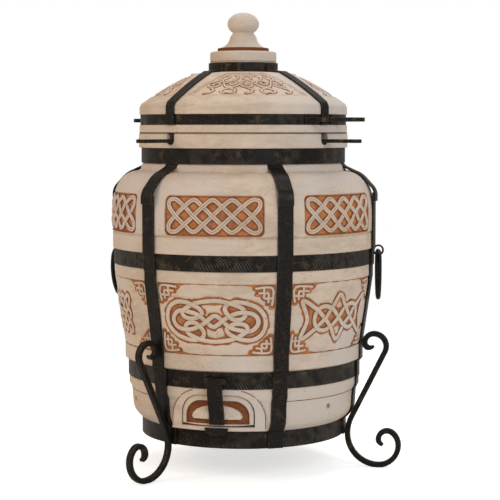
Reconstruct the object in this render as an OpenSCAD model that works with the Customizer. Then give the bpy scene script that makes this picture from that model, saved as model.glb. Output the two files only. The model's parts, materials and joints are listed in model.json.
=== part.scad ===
// Clay tandoor oven: a clay vessel in three rings bound with forged hoops and straps, a domed
// clay lid with a lift-off cap, a hinged vent door, a drop-in grate and a skewer rack, on three
// scrolled legs.
// The vent door faces -Y, +Z is up, and the origin is on the vessel's axis at floor level.
// Profiles are written as [radius, height] and pieces are drawn facing -Y, then turned about Z.

/* [Clay vessel] */
// Height of the vessel's underside above the floor
base_z = 80; // [74:1:92]
// Thickness of the clay wall
wall = 48; // [42:1:52]
// Thickness of the vessel's floor
floor_t = 42; // [34:1:46]
// Radius of the clay just above the foot flare
foot_r = 255; // [252:1:258]
// Height of the foot flare above the base hoop
flare_h = 37; // [32:1:42]
// Height of the zone that holds the vent, from the base hoop to the low band
vent_zone_h = 79; // [78:1:90]
// Radius of the low band under the lower hoop
low_band_r = 263; // [260:1:264]
// Height of the low band
low_band_h = 18; // [16:1:22]
// Radius of the clay band over the lower hoop
mid_band_r = 272; // [268:1:276]
// Height of the clay band over the lower hoop
mid_band_h = 37; // [30:1:42]
// Height of the lower panel field
field_h = 156; // [150:1:166]
// Depth of the lower panel field under the line of its two bands
field_depth = 2.5; // [1.5:0.5:5]
// Radius of the clay band under the belly hoop
sub_band_r = 294.5; // [292:0.5:296]
// Height of the clay band under the belly hoop
sub_band_h = 26; // [22:1:32]
// Radius of the clay band over the belly hoop
belly_band_r = 299; // [298:0.5:299.5]
// Height of the clay band over the belly hoop
belly_band_h = 35; // [28:1:42]
// Largest radius of the clay, at the upper panels
belly_r = 300; // [299.5:0.5:304]
// Height from the belly band to the neck hoop
upper_h = 157; // [152:1:164]
// Height of the rounded shoulder
shoulder_h = 101; // [92:1:106]
// Fullness of the shoulder curve (2 is an ellipse)
shoulder_power = 2.4; // [2:0.1:3]
// Radius of the clay under the neck hoop
neck_r = 235; // [233:1:238]
// Radius of the rim
rim_r = 238.5; // [236:0.5:240]
// Height of the rim over the neck hoop
rim_h = 33; // [30:1:40]
// Radius of the mouth
mouth_r = 180; // [178:1:186]

/* [Relief panels] */
// Width of an upper panel, as an angle
panel_angle = 42.6; // [36:0.2:46]
// Height of an upper panel
panel_h = 86; // [70:1:90]
// Height of the plain strip under an upper panel
panel_gap = 5.5; // [4:0.5:10]
// Depth of the relief panels
panel_depth = 4; // [2:0.5:6]

/* [Hoops and straps] */
// Thickness of the hoops
hoop_t = 4; // [3:0.5:5]
// Outer radius of the base hoop
base_hoop_r = 234; // [232:1:237]
// Height of the base hoop
base_hoop_h = 38; // [34:1:42]
// Outer radius of the lower hoop
lower_hoop_r = 265; // [264:0.5:268]
// Height of the lower hoop
lower_hoop_h = 37; // [34:1:40]
// Outer radius of the belly hoop
belly_hoop_r = 297; // [296.5:0.5:298]
// Height of the belly hoop
belly_hoop_h = 35; // [32:1:40]
// Outer radius of the neck hoop
neck_hoop_r = 233; // [232:0.5:234.5]
// Height of the neck hoop
neck_hoop_h = 34; // [30:1:38]
// Width of the six body straps
strap_w = 34.5; // [30:0.5:38]
// Thickness of the body straps
strap_t = 4; // [3:0.5:5]
// Length of the lap between a body strap and its shoulder piece
strap_lap = 20; // [14:1:24]
// Thickness of the crossed bars under the vessel
cross_t = 4; // [3:0.5:6]
// Radius of a rivet head
rivet_r = 5; // [4:0.5:6]
// Height of a rivet head
rivet_h = 3; // [2:0.5:4]

/* [Legs] */
// Side of the square bar of the legs
leg_bar = 12; // [10:0.5:14]
// Radius of the big bend over the foot
foot_bend_r = 70; // [64:1:74]
// Radius of the toe bend
toe_bend_r = 47; // [42:1:52]
// Lean of the stem away from upright
stem_lean = 26.5; // [24:0.5:28]
// Radius of the scroll at the top of a leg
top_scroll_r = 28; // [25:0.5:30]
// Depth of the flat under each foot
foot_flat = 0.5; // [0.3:0.1:0.8]

/* [Lid and cap] */
// Radius of the lid
lid_r = 237; // [236:0.5:240]
// Height of the clay band under the lid hoop
lid_band_h = 18; // [15:1:22]
// Outer radius of the lid hoop
lid_hoop_r = 235; // [234:0.5:235.5]
// Height of the lid hoop
lid_hoop_h = 23; // [20:1:26]
// Height of the lid's drum over its hoop
lid_drum_h = 17; // [14:1:22]
// Height of the lid's cone
lid_cone_h = 76; // [70:1:84]
// Radius at the top of the lid's cone
lid_top_r = 118; // [110:1:124]
// Width of a lid field along its upper edge
lid_field_top_w = 88; // [40:1:110]
// Width of a lid field along its lower edge
lid_field_low_w = 264; // [200:1:268]
// Height of the spigot that centres the lid in the mouth
spigot_h = 8; // [5:0.5:9]
// Clearance of the spigot in the mouth
spigot_gap = 4; // [2:0.5:6]
// Thickness of the lid's clay at the spigot
lid_wall = 36; // [30:1:42]
// Outer radius of the collar hoop
collar_r = 79; // [77:0.5:82]
// Height of the collar hoop
collar_h = 21.5; // [18:0.5:26]
// Radius of the smoke hole
smoke_r = 50; // [44:1:54]
// Width of the lid straps
lid_strap_w = 24; // [20:1:28]
// Radius of the cap's disc
cap_r = 75.6; // [74:0.2:77]
// Height of the cap's disc
cap_disc_h = 23; // [20:0.5:28]
// Radius of the stripe under the knob
stripe_r = 58.4; // [54:0.2:62]
// Height of the stripe
stripe_h = 8; // [6:0.5:10]
// Height from the stripe to the knob's neck
knob_stem_h = 29; // [26:0.5:34]
// Radius of the knob's neck
knob_neck_r = 29.6; // [26:0.2:32]
// Radius of the knob
knob_r = 36; // [34:0.5:40]
// Height of the knob
knob_h = 52; // [48:1:58]
// Reach of a lid handle from the lid hoop
lid_handle_reach = 95; // [80:1:105]
// Half the distance between a handle's feet
lid_handle_half = 41; // [40:1:46]
// Thickness of the handle bar
lid_handle_bar = 9; // [7:0.5:10]

/* [Vent] */
// Width of the vent opening
vent_w = 163; // [150:1:166]
// Height of the vent opening
vent_h = 70; // [66:1:71]
// Radius of the vent's upper corners
vent_corner = 42; // [30:1:46]
// Height of the sill over the base hoop
sill_h = 14; // [13:0.5:15]
// Width of the raised surround
surround_w = 210; // [202:1:216]
// Depth of the surround's face behind the lower hoop
surround_in = 4; // [3:0.5:5]
// Depth of the door's face behind the surround's
door_in = 4; // [3:0.5:5]
// Thickness of the clay door
door_t = 22; // [16:1:24]
// Gap round the clay door
door_gap = 2.5; // [1.5:0.5:4]
// Shift of the door towards the left of its opening
door_shift = 1; // [0:0.5:1]
// Width of the door's strap
door_strap_w = 34; // [28:1:38]
// Radius of the hinge pin
hinge_pin_r = 4; // [3:0.5:4.5]
// Thickness of the hinge curl
hinge_curl_t = 4; // [3:0.5:4]

/* [Carry rings] */
// Side angle of the left ring, from the front
left_ring_angle = -97; // [-99:1:-97]
// Side angle of the right ring, from the front
right_ring_angle = 102; // [99:1:106]
// Radius of the hole in a ring's eye
eye_hole_r = 8.5; // [8:0.5:10]
// Thickness of the eye's wire
eye_wire = 4.5; // [4:0.5:5]
// Reach of the eye's centre from the belly hoop
eye_reach = 14; // [13.5:0.5:18]
// Thickness of the ring's bar
ring_bar = 10; // [8:0.5:10.5]
// Length of the straight top of a ring
ring_top = 30; // [26:1:36]
// Radius of a ring's upper corners
ring_corner_r = 24; // [20:1:26]
// Radius of a ring's sides
ring_side_r = 85; // [80:1:90]

/* [Grate and rack] */
// Radius of the grate
grate_r = 170; // [166:1:174]
// Thickness of the grate
grate_t = 14; // [10:1:18]
// Radius of the hole in the clay ledge under the grate
ledge_r = 156; // [150:1:158]
// Thickness of the ledge at its edge
ledge_t = 18; // [14:1:24]
// Width of a slot in the grate
slot_w = 13; // [10:0.5:15]
// Width of a rib between two slots
slot_rib = 13; // [10:0.5:16]
// Reach of the rack's arms past the rim
rack_reach = 99; // [80:1:105]
// Width of the rack's bars
rack_w = 18; // [14:1:20]
// Thickness of the rack's bars
rack_t = 8; // [6:0.5:9]
// Radius of the rack's ring
rack_ring_r = 92; // [70:1:110]
// Radius of the notches in the rim
notch_r = 11; // [10.5:0.5:12.5]
// Depth of the notches in the rim
notch_depth = 26; // [25:0.5:28]

/* [Fits] */
// Gap between iron and clay, and between lapped irons
fit = 0.3; // [0.2:0.05:0.4]
// Running gap of the hinge pin, on the radius
pin_gap = 0.05; // [0.03:0.01:0.08]
// Angle from the front to the first lid strap, rack arm and rim notch
cross_angle = -29; // [-29.4:0.2:-28]

/* [Hidden] */
$fn = 96;
clay = [0.87, 0.80, 0.70];
fired_clay = [0.78, 0.48, 0.28];
iron = [0.16, 0.15, 0.14];
rope = [0.80, 0.78, 0.72];
strap_angles = [-30, 30, 90, 150, 210, 270];
leg_angles = [-30, 90, 210];
cross_angles = [for (i = [0:3]) cross_angle + 90 * i];
handle_angles = [cross_angle + 270, cross_angle + 90];

// Heights of the zones, from the floor up
base_hoop_z = base_z - cross_t;
flare_z = base_hoop_z + base_hoop_h;
low_band_z = flare_z + vent_zone_h;
lower_hoop_z = low_band_z + low_band_h;
mid_band_z = lower_hoop_z + lower_hoop_h;
field_z = mid_band_z + mid_band_h;
sub_band_z = field_z + field_h;
belly_hoop_z = sub_band_z + sub_band_h;
joint_z = belly_hoop_z + belly_hoop_h / 2;
belly_band_z = belly_hoop_z + belly_hoop_h;
upper_z = belly_band_z + belly_band_h;
neck_hoop_z = upper_z + upper_h;
shoulder_top_z = neck_hoop_z - 18;
shoulder_z = shoulder_top_z - shoulder_h;
rim_z = neck_hoop_z + neck_hoop_h;
mouth_z = rim_z + rim_h;
lid_hoop_z = mouth_z + lid_band_h;
drum_z = lid_hoop_z + lid_hoop_h;
cone_z = drum_z + lid_drum_h;
cone_top_z = cone_z + lid_cone_h;
collar_z = cone_top_z + 3;
lid_top_z = collar_z + collar_h + 2.5;

// Seats of the hoops in the clay
base_seat_r = base_hoop_r - hoop_t - fit;
lower_seat_r = lower_hoop_r - hoop_t - fit;
belly_seat_r = belly_hoop_r - hoop_t - fit;
neck_seat_r = neck_hoop_r - hoop_t - fit;
lid_seat_r = lid_hoop_r - hoop_t - fit;
collar_seat_r = collar_r - hoop_t - fit;

// The vent and its hinge
sill_z = flare_z + sill_h;
vent_top_z = sill_z + vent_h;
surround_r = lower_hoop_r - surround_in;
door_r = surround_r - door_in;
hinge_r = lower_hoop_r + 1 + hinge_pin_r + hinge_curl_t;
hinge_z = lower_hoop_z + lower_hoop_h / 2;
door_swing_r = hinge_z - sill_z - 1;
rebate = 8;
boss_r = door_r + 2;
toe_r = boss_r + fit;
// The radii between which the vent's pieces are cut, inside the wall and well outside it
vent_in_r = low_band_r - 2 * wall;
vent_out_r = lower_hoop_r + 35;

// The ash chamber and the ledge of the grate
ash_r = low_band_r - wall;
ledge_low_z = vent_top_z + 7;
ledge_z = ledge_low_z + 17 + ledge_t;
ledge_out_r = mid_band_r - wall;
ash_top_z = lower_hoop_z + lower_hoop_h / 4;

// The rope in its groove, in the middle of the wall at the joint
rope_r = 4;
rope_ring_r = belly_seat_r - 18;
groove_r = rope_r + fit;

// The eyes and rings at the sides
eye_ring_r = eye_hole_r + eye_wire / 2;
eye_r = belly_hoop_r + eye_reach;
eye_z = joint_z + 8;
ring_z = eye_z - (eye_hole_r - ring_bar / 2 - fit);
ring_end_r = (ring_top / 2 + ring_corner_r * sin(75) + ring_side_r * (sin(135) - sin(75))) / sin(135);

// The arms of the rack lie in the round bottoms of the rim notches
notch_z = mouth_z - notch_depth;
rack_z = notch_z + notch_r - sqrt(pow(notch_r, 2) - pow(rack_w / 2, 2)) + fit;
rack_r = rim_r + rack_reach;

// Points of an outline between two points, bowed outwards by sag
function bowed(a, b, sag, n) =
    [for (i = [0:n])
        let (t = i / n, d = b - a)
        a + t * d + [d[1], -d[0]] / norm(d) * 4 * sag * t * (1 - t)];

// A quarter of a full oval from its side to its top
function quarter(side, top, power, n) =
    [for (i = [0:n])
        let (a = 90 * i / n)
        [top[0] + (side[0] - top[0]) * pow(cos(a), 2 / power),
         side[1] + (top[1] - side[1]) * pow(sin(a), 2 / power)]];

function reversed(p) = [for (i = [len(p) - 1:-1:0]) p[i]];
function shifted(p, d) = [for (q = p) q + d];
function right_of(a, b) = [b[1] - a[1], a[0] - b[0]] / norm(b - a);

// A path moved sideways by d, with mitred corners; d may be a list with one value for each point
function beside(p, d) =
    [for (i = [0:len(p) - 1])
        let (
            n0 = right_of(p[max(i, 1) - 1], p[max(i, 1)]),
            n1 = i < len(p) - 1 ? right_of(p[i], p[i + 1]) : n0,
            t = is_list(d) ? d[i] : d
        )
        p[i] + t * (n0 + n1) / (1 + n0 * n1)];

function flat_bar(p, t) = concat(p, reversed(beside(p, t)));
function round_bar(p, t) = concat(beside(p, t), reversed(beside(p, -t)));

// Points and headings along bends that follow each other, each given as [radius, turn, steps]
function bend(p, h, r, s, n) =
    [for (i = [1:n])
        let (a = h + s * i / n, c = p + sign(s) * r * [-sin(h), cos(h)])
        [c + sign(s) * r * [sin(a), -cos(a)], a]];
function bends(p, h, runs, k = 0) =
    k == len(runs) ? [] :
    let (b = bend(p, h, runs[k][0], runs[k][1], runs[k][2]), e = b[len(b) - 1])
    concat(b, bends(e[0], e[1], runs, k + 1));

module turned(angle) {
    rotate([0, 0, angle]) children();
}

// A plate of width w whose side outline is [radius, height], facing -Y
module side_plate(p, w) {
    rotate([90, 0, -90]) linear_extrude(height = w, center = true) polygon(p);
}

// A prism that runs radially through the wall, from an outline in [x, height]
module front_prism(p, r0, r1) {
    translate([0, -r0, 0]) rotate([90, 0, 0]) linear_extrude(height = r1 - r0) polygon(p);
}

module sector(angle, width) {
    rotate([0, 0, angle - 90 - width / 2]) rotate_extrude(angle = width) children();
}

module hoop(r, z, h) {
    color(iron) translate([0, 0, z]) difference() {
        cylinder(r = r, h = h);
        translate([0, 0, -1]) cylinder(r = r - hoop_t, h = h + 2);
    }
}

// A domed rivet head that stands on the plane z = 0
module rivet_head() {
    rotate_extrude() polygon(concat([[0, 0]], quarter([rivet_r, 0], [0, rivet_h], 2, 6)));
}

module outward_at(angle, r, z) {
    turned(angle) translate([0, -r, z]) rotate([90, 0, 0]) children();
}

// --- Clay -------------------------------------------------------------------------------------

flare = bowed([base_hoop_r, flare_z], [foot_r, flare_z + flare_h], 6, 6);
field_line = bowed([mid_band_r, field_z], [sub_band_r, sub_band_z], 0.6, 6);
shoulder = quarter([belly_r, shoulder_z], [neck_r, shoulder_top_z], shoulder_power, 12);

ash_outside = concat(
    [[ash_r, base_z], [base_seat_r, base_z], [base_seat_r, flare_z]],
    flare,
    [[foot_r + 2, low_band_z - 12], [low_band_r, low_band_z], [low_band_r, lower_hoop_z]],
    [[lower_seat_r, lower_hoop_z], [lower_seat_r, ash_top_z]]
);

ash_inside = [[ledge_out_r, ash_top_z], [ledge_out_r, ledge_low_z], [ash_r, ledge_low_z]];

lower_outside = concat(
    [[lower_seat_r, ash_top_z], [lower_seat_r, mid_band_z + 0.5], [lower_hoop_r, mid_band_z + 0.5]],
    [[mid_band_r, mid_band_z + 4], [mid_band_r, field_z]],
    shifted(field_line, [-field_depth, 0]),
    [[sub_band_r, sub_band_z], [sub_band_r, belly_hoop_z], [belly_seat_r, belly_hoop_z]],
    [[belly_seat_r, joint_z]]
);

lower_inside = [[belly_r - wall, joint_z], [ledge_out_r, ledge_z], [ledge_out_r, ash_top_z]];

function arch(w, z0, z1, c) =
    concat(
        [[-w / 2, z0], [w / 2, z0]],
        [for (i = [0:8]) [w / 2 - c + c * cos(90 * i / 8), z1 - c + c * sin(90 * i / 8)]],
        [for (i = [0:8]) [-w / 2 + c - c * sin(90 * i / 8), z1 - c + c * cos(90 * i / 8)]]
    );

// A fired disc inside the foot of the vessel, which lies on the crossed bars
module floor_tile() {
    color(fired_clay) translate([0, 0, base_z]) cylinder(r = ash_r - fit, h = floor_t);
}

// A fired ring that rests on the step over the ash chamber and carries the grate
module grate_ledge() {
    color(fired_clay) rotate_extrude() polygon([
        [ledge_r, ledge_z], [ledge_r, ledge_z - ledge_t], [ash_r - fit, ledge_low_z],
        [ledge_out_r - fit, ledge_low_z], [ledge_out_r - fit, ledge_z]
    ]);
}

// The lowest clay ring, with the ash chamber and the vent; its joint lies behind the lower hoop
module ash_vessel() {
    color(clay) difference() {
        union() {
            rotate_extrude() polygon(concat(ash_outside, ash_inside));
            intersection() {
                front_prism(
                    arch(surround_w, flare_z + 6, lower_hoop_z - 1, vent_corner + 22),
                    ash_r + wall / 4, vent_out_r
                );
                translate([0, 0, flare_z]) cylinder(r = surround_r, h = lower_hoop_z - flare_z);
            }
        }
        difference() {
            front_prism(arch(vent_w, sill_z, vent_top_z, vent_corner), vent_in_r, vent_out_r);
            cylinder(r = door_r - door_t - fit - 0.5, h = lower_hoop_z);
        }
        front_prism(
            arch(vent_w - 2 * rebate, sill_z, vent_top_z - rebate, vent_corner - rebate),
            vent_in_r, vent_out_r
        );
        for (a = [60, 120, 180, 240, 300]) {
            outward_at(a, foot_r - 14, low_band_z - 33) cylinder(r = 6, h = 30);
        }
    }
}

module lower_vessel() {
    color(clay) difference() {
        rotate_extrude() polygon(concat(lower_outside, lower_inside));
        translate([0, 0, joint_z]) rotate_extrude() translate([rope_ring_r, 0]) circle(r = groove_r);
    }
}

function wall_r(z) =
    z <= shoulder_z ? belly_r :
    neck_r + (belly_r - neck_r)
        * pow(1 - pow((z - shoulder_z) / shoulder_h, shoulder_power), 1 / shoulder_power);

upper_outside = concat(
    [[belly_seat_r, joint_z], [belly_seat_r, belly_band_z + 0.5], [belly_band_r, belly_band_z + 0.5]],
    [[belly_band_r, upper_z], [belly_band_r - 2, upper_z + 2], [belly_r, upper_z + 5]],
    shoulder,
    [[neck_r - 2, neck_hoop_z - 6], [neck_seat_r, neck_hoop_z], [neck_seat_r, rim_z + 0.5]],
    [[rim_r, rim_z + 0.5], [rim_r, mouth_z - 3], [rim_r - 3, mouth_z]]
);

upper_inside = concat(
    [[mouth_r, mouth_z]],
    reversed(quarter([belly_r - wall, shoulder_z - 15], [mouth_r, shoulder_top_z - 22], 2, 10)),
    [[belly_r - wall, joint_z]]
);

panel_z = upper_z + panel_gap;
panel_cut = concat(
    [for (i = [0:8]) let (z = panel_z + panel_h * i / 8) [wall_r(z) - panel_depth, z]],
    [[belly_r + 5, panel_z + panel_h], [belly_r + 5, panel_z]]
);

module upper_vessel() {
    color(clay) difference() {
        rotate_extrude() polygon(concat(upper_outside, upper_inside));
        for (a = [0:60:300]) {
            sector(a, panel_angle) polygon(panel_cut);
        }
        translate([0, 0, joint_z]) rotate_extrude() translate([rope_ring_r, 0]) circle(r = groove_r);
        for (a = strap_angles) {
            turned(a) side_plate(strap_slot, strap_w + 2 * fit);
        }
        for (a = cross_angles) {
            turned(a) front_prism(notch, mouth_r - 30, rim_r + 20);
        }
    }
}

notch = concat(
    [for (i = [0:12]) [-notch_r * cos(180 * i / 12), notch_z + notch_r - notch_r * sin(180 * i / 12)]],
    [[notch_r, mouth_z + 5], [-notch_r, mouth_z + 5]]
);

module joint_rope() {
    color(rope) translate([0, 0, joint_z]) rotate_extrude() translate([rope_ring_r, 0]) circle(r = rope_r);
}

cone = bowed([lid_r - 4, cone_z + 8], [lid_top_r, cone_top_z], 3, 6);
spigot_r = mouth_r - spigot_gap;
lid_panel = bowed([lid_r - 26, cone_z + 22], [lid_top_r + 4, cone_top_z - 3], 3, 6);
// Plan of a lid field between two straps, facing -Y: it widens from the collar to the drum
lid_field_top = [lid_field_top_w / 2, -sqrt(pow(lid_panel[6][0], 2) - pow(lid_field_top_w / 2, 2))];
lid_field_low = [lid_field_low_w / 2, -sqrt(pow(lid_panel[0][0], 2) - pow(lid_field_low_w / 2, 2))];
lid_field_run = (lid_field_low - lid_field_top) / 10;
lid_field_side = [lid_field_top - lid_field_run, lid_field_low + lid_field_run, [lid_field_low[0] + 9, -lid_r]];
lid_field_plan = concat(lid_field_side, reversed([for (p = lid_field_side) [-p[0], p[1]]]));

module lid_shell() {
    color(clay) difference() {
        rotate_extrude() polygon(concat(
            [[spigot_r - lid_wall, mouth_z - spigot_h], [spigot_r, mouth_z - spigot_h]],
            [[spigot_r, mouth_z + fit], [lid_r, mouth_z + fit], [lid_r, lid_hoop_z]],
            [[lid_seat_r, lid_hoop_z], [lid_seat_r, drum_z + 0.5], [lid_r, drum_z + 0.5], [lid_r, cone_z]],
            cone,
            [[collar_r + 6, collar_z], [collar_seat_r, collar_z], [collar_seat_r, lid_top_z]],
            [[smoke_r, lid_top_z]],
            reversed(quarter([spigot_r - lid_wall, drum_z - 12], [smoke_r, cone_top_z - 30], 2, 8))
        ));
        intersection() {
            rotate_extrude() polygon(concat(
                shifted(lid_panel, [-panel_depth / 2, -panel_depth * 0.8]),
                [[lid_top_r + 4, cone_top_z + 20], [lid_r - 20, cone_top_z + 20]]
            ));
            union() {
                for (a = cross_angles) {
                    turned(a + 45) translate([0, 0, cone_z]) linear_extrude(height = lid_cone_h)
                        polygon(lid_field_plan);
                }
            }
        }
    }
}

cap_z = lid_top_z + fit;
stripe_z = cap_z + cap_disc_h;
knob_z = stripe_z + stripe_h + knob_stem_h;

module cap() {
    color(clay) rotate_extrude() polygon(concat(
        [[0, cap_z - 16], [smoke_r - 3, cap_z - 16], [smoke_r - 2, cap_z], [cap_r, cap_z]],
        quarter([cap_r, stripe_z - 5], [cap_r - 5, stripe_z], 2, 4),
        [[stripe_r, stripe_z], [stripe_r, stripe_z + stripe_h]],
        bowed([stripe_r - 1, stripe_z + stripe_h], [knob_neck_r, knob_z - 3], -7, 6),
        [for (i = [-5:9]) let (a = 10 * i) [knob_r * cos(a), knob_z + knob_h / 2 * (1 + sin(a))]]
    ));
}

// --- Iron bands -------------------------------------------------------------------------------

module base_hoop() { hoop(base_hoop_r, base_hoop_z, base_hoop_h); }
module lower_hoop() { hoop(lower_hoop_r, lower_hoop_z, lower_hoop_h); }
module belly_hoop() { hoop(belly_hoop_r, belly_hoop_z, belly_hoop_h); }
module neck_hoop() { hoop(neck_hoop_r, neck_hoop_z, neck_hoop_h); }
module lid_hoop() { hoop(lid_hoop_r, lid_hoop_z, lid_hoop_h); }
module collar_hoop() { hoop(collar_r, collar_z, collar_h); }

module base_cross() {
    color(iron) translate([0, 0, base_hoop_z]) intersection() {
        cylinder(r = base_seat_r, h = cross_t);
        union() {
            for (a = [-30, 30, 90]) {
                turned(a) translate([-strap_w / 2, -base_hoop_r, 0])
                    cube([strap_w, 2 * base_hoop_r, cross_t]);
            }
        }
    }
}

// Inner face of a body strap: over the hoops and bands, straight across the panel field
strap_top_z = shoulder_z + 53;
strap_seat_r = max(belly_r, belly_band_r);
strap_path = concat(
    [[base_hoop_r + fit, base_hoop_z]],
    shifted(flare, [fit, 0]),
    [[foot_r + 2 + fit, low_band_z - 12], [low_band_r + fit, low_band_z]],
    [[low_band_r + fit, lower_hoop_z - 2], [lower_hoop_r + fit, lower_hoop_z]],
    [[lower_hoop_r + fit, mid_band_z], [mid_band_r + fit, mid_band_z + 4], [mid_band_r + fit, field_z]],
    [[sub_band_r + fit, sub_band_z], [sub_band_r + fit, belly_hoop_z - 3]],
    [[belly_hoop_r + fit, belly_hoop_z], [belly_hoop_r + fit, belly_band_z - 8]],
    [[strap_seat_r + fit, belly_band_z], [strap_seat_r + fit, strap_top_z]]
);

// Inner face of a shoulder piece: over the strap's end, down the shoulder, under the neck hoop
lap_r = strap_seat_r + 2 * fit + strap_t;
under_r = sqrt(pow(neck_hoop_r - hoop_t, 2) - pow(strap_w / 2, 2)) - fit - strap_t;
neck_path = [
    [neck_r + 1 + fit, neck_hoop_z - 11],
    [under_r, neck_hoop_z - 4],
    [under_r, rim_z - 2]
];
shoulder_path = concat(
    [[lap_r, strap_top_z - strap_lap], [lap_r, strap_top_z + 4]],
    [for (i = [7:10]) shoulder[i] + [fit + (10 - i) * 0.5, fit + 0.4]],
    neck_path
);
strap_slot = concat(
    shifted(neck_path, [-fit, -2 * fit]),
    [[under_r - fit, rim_z], [neck_r + 20, rim_z], [neck_r + 20, neck_hoop_z - 11]]
);

module body_strap(i) {
    color(iron) turned(strap_angles[i]) side_plate(flat_bar(strap_path, strap_t), strap_w);
}

module shoulder_strap(i) {
    color(iron) turned(strap_angles[i]) side_plate(flat_bar(shoulder_path, strap_t), strap_w);
}

// Inner face of a lid strap: from the collar hoop over the cone to the lid hoop
lid_strap_path = concat(
    [[lid_r + fit, lid_hoop_z], [lid_r + fit, cone_z]],
    shifted(cone, [fit, fit]),
    [[collar_r + 6, collar_z + fit], [collar_r + fit, collar_z + 2 * fit], [collar_r + fit, lid_top_z - 6]]
);

module lid_strap(i) {
    color(iron) turned(cross_angles[i]) side_plate(flat_bar(lid_strap_path, strap_t), lid_strap_w);
}

// --- Legs -------------------------------------------------------------------------------------

// A leg stands upright beside the base hoop's strap, and its stem leans past the strap's flare
// up to the scroll that meets the strap again
leg_z = leg_bar / 2 - foot_flat + foot_bend_r;
shin_h = 12;
lean_side = [cos(stem_lean), -sin(stem_lean)];
flare_face = beside(shifted(flare, [fit, 0]), strap_t);
stem_side = max([for (q = flare_face) q * lean_side]) + leg_bar / 2 + fit;
leg_r = max(base_hoop_r + 2 * fit + strap_t + leg_bar / 2,
            (stem_side + (leg_z + shin_h) * sin(stem_lean)) / cos(stem_lean));
knee_z = (leg_r * lean_side[0] - stem_side) / sin(stem_lean);
ankle_r = (knee_z - leg_z) / tan(stem_lean / 2);
scroll_turn_r = top_scroll_r - 6.5;
ankle = [leg_r, leg_z] + ankle_r * [1 - cos(stem_lean), sin(stem_lean)];
scroll_side = [
    top_scroll_r * (1 - cos(stem_lean)) - top_scroll_r - scroll_turn_r,
    top_scroll_r * (1 + sin(stem_lean)) - scroll_turn_r
];
field_low_r = max(mid_band_r, lower_hoop_r);
function strap_face(z) =
    field_low_r + 2 * fit + 1.05 * strap_t
    + max(0, z - field_z) * (sub_band_r - field_low_r) / field_h;
function stem_for(z) = (strap_face(z) + leg_bar / 2 + fit - ankle[0] - scroll_side[0]) / sin(stem_lean);
function stem_length(n, z) =
    n == 0 ? stem_for(z) :
    stem_length(n - 1, ankle[1] + scroll_side[1] + stem_for(z) * cos(stem_lean));
stem = stem_length(8, field_z);
stem_top = ankle + stem * [sin(stem_lean), cos(stem_lean)];

foot_run = bends([leg_r, leg_z], 270,
    [[foot_bend_r, 90, 10], [toe_bend_r, 90, 8], [36, 50, 4], [20, 130, 8], [13, 80, 5]]);
shin_run = bends([leg_r, leg_z], 90, [[ankle_r, -stem_lean, 4]]);
scroll_run = bends(stem_top, 90 - stem_lean,
    [[top_scroll_r, 90 + stem_lean, 9], [scroll_turn_r, 90, 6], [11, 90, 6], [14, 45, 3]]);
leg_path = concat(
    reversed([for (q = foot_run) q[0]]),
    [[leg_r, leg_z]],
    [for (q = shin_run) q[0]],
    [stem_top],
    [for (q = scroll_run) q[0]]
);
leg_half = [for (i = [0:len(leg_path) - 1])
    leg_bar / 2 * min(1, 0.5 + i * 0.12, 0.5 + (len(leg_path) - 1 - i) * 0.12)];
foot_r_mid = leg_r + foot_bend_r;

module leg(i) {
    color(iron) turned(leg_angles[i]) difference() {
        side_plate(round_bar(leg_path, leg_half), leg_bar);
        translate([-leg_bar, -foot_r_mid - 60, -20]) cube([2 * leg_bar, 120, 20]);
    }
}

// --- Vent -------------------------------------------------------------------------------------

door_w = vent_w - 2 * door_gap;

module vent_door() {
    color(clay) translate([-door_shift, 0, 0]) intersection() {
        union() {
            difference() {
                intersection() {
                    front_prism(
                        arch(door_w, 0, vent_top_z - 1.5, vent_corner - 1.5),
                        vent_in_r, vent_out_r
                    );
                    difference() {
                        cylinder(r = door_r, h = vent_top_z);
                        cylinder(r = door_r - door_t, h = 3 * vent_top_z, center = true);
                    }
                }
                difference() {
                    front_prism(
                        arch(door_w - 17, sill_z + 6, vent_top_z - 13, vent_corner - 8),
                        vent_in_r, vent_out_r
                    );
                    cylinder(r = door_r - 6, h = 3 * vent_top_z, center = true);
                }
            }
            intersection() {
                front_prism(half_moon, vent_in_r, vent_out_r);
                difference() {
                    cylinder(r = boss_r, h = vent_top_z);
                    cylinder(r = door_r - door_t + 4, h = 3 * vent_top_z, center = true);
                }
            }
        }
        translate([0, -hinge_r, hinge_z]) rotate([0, 90, 0])
            cylinder(r = door_swing_r, h = surround_w, center = true);
    }
}

boss_w = 112;
boss_z = sill_z + 17;
half_moon = concat(
    [[-boss_w / 2 + 4, boss_z], [boss_w / 2 - 4, boss_z]],
    [for (i = [0:10]) [boss_w / 2 * cos(18 * i), boss_z + 5 + 26 * sin(18 * i)]]
);

// Outer side of the hinge curl, then down to the flat toe that is riveted to the door's boss
door_strap_path = concat(
    [for (i = [0:5]) [hinge_r + (hinge_pin_r + pin_gap) * cos(150 - 30 * i),
                      hinge_z + (hinge_pin_r + pin_gap) * sin(150 - 30 * i)]],
    [[hinge_r + 3, hinge_z - 26], [hinge_r - 4, hinge_z - 50], [toe_r + 1, hinge_z - 72]],
    [[toe_r, hinge_z - 78], [toe_r, hinge_z - 96]]
);

module vent_strap() {
    color(iron) union() {
        difference() {
            side_plate(flat_bar(reversed(door_strap_path), hinge_curl_t), door_strap_w);
            vent_hole(hinge_pin_r + pin_gap);
        }
        difference() {
            vent_hole(hinge_pin_r + hinge_curl_t, door_strap_w);
            vent_hole(hinge_pin_r + pin_gap);
        }
    }
}

module vent_hole(r, w = 100) {
    translate([0, -hinge_r, hinge_z]) rotate([0, 90, 0]) cylinder(r = r, h = w, center = true);
}

lug_t = 5;
lug_gap = 0.5;

module vent_pin() {
    color(iron) vent_hole(hinge_pin_r, door_strap_w + 2 * lug_gap + 2 * lug_t + 4);
}

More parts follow.
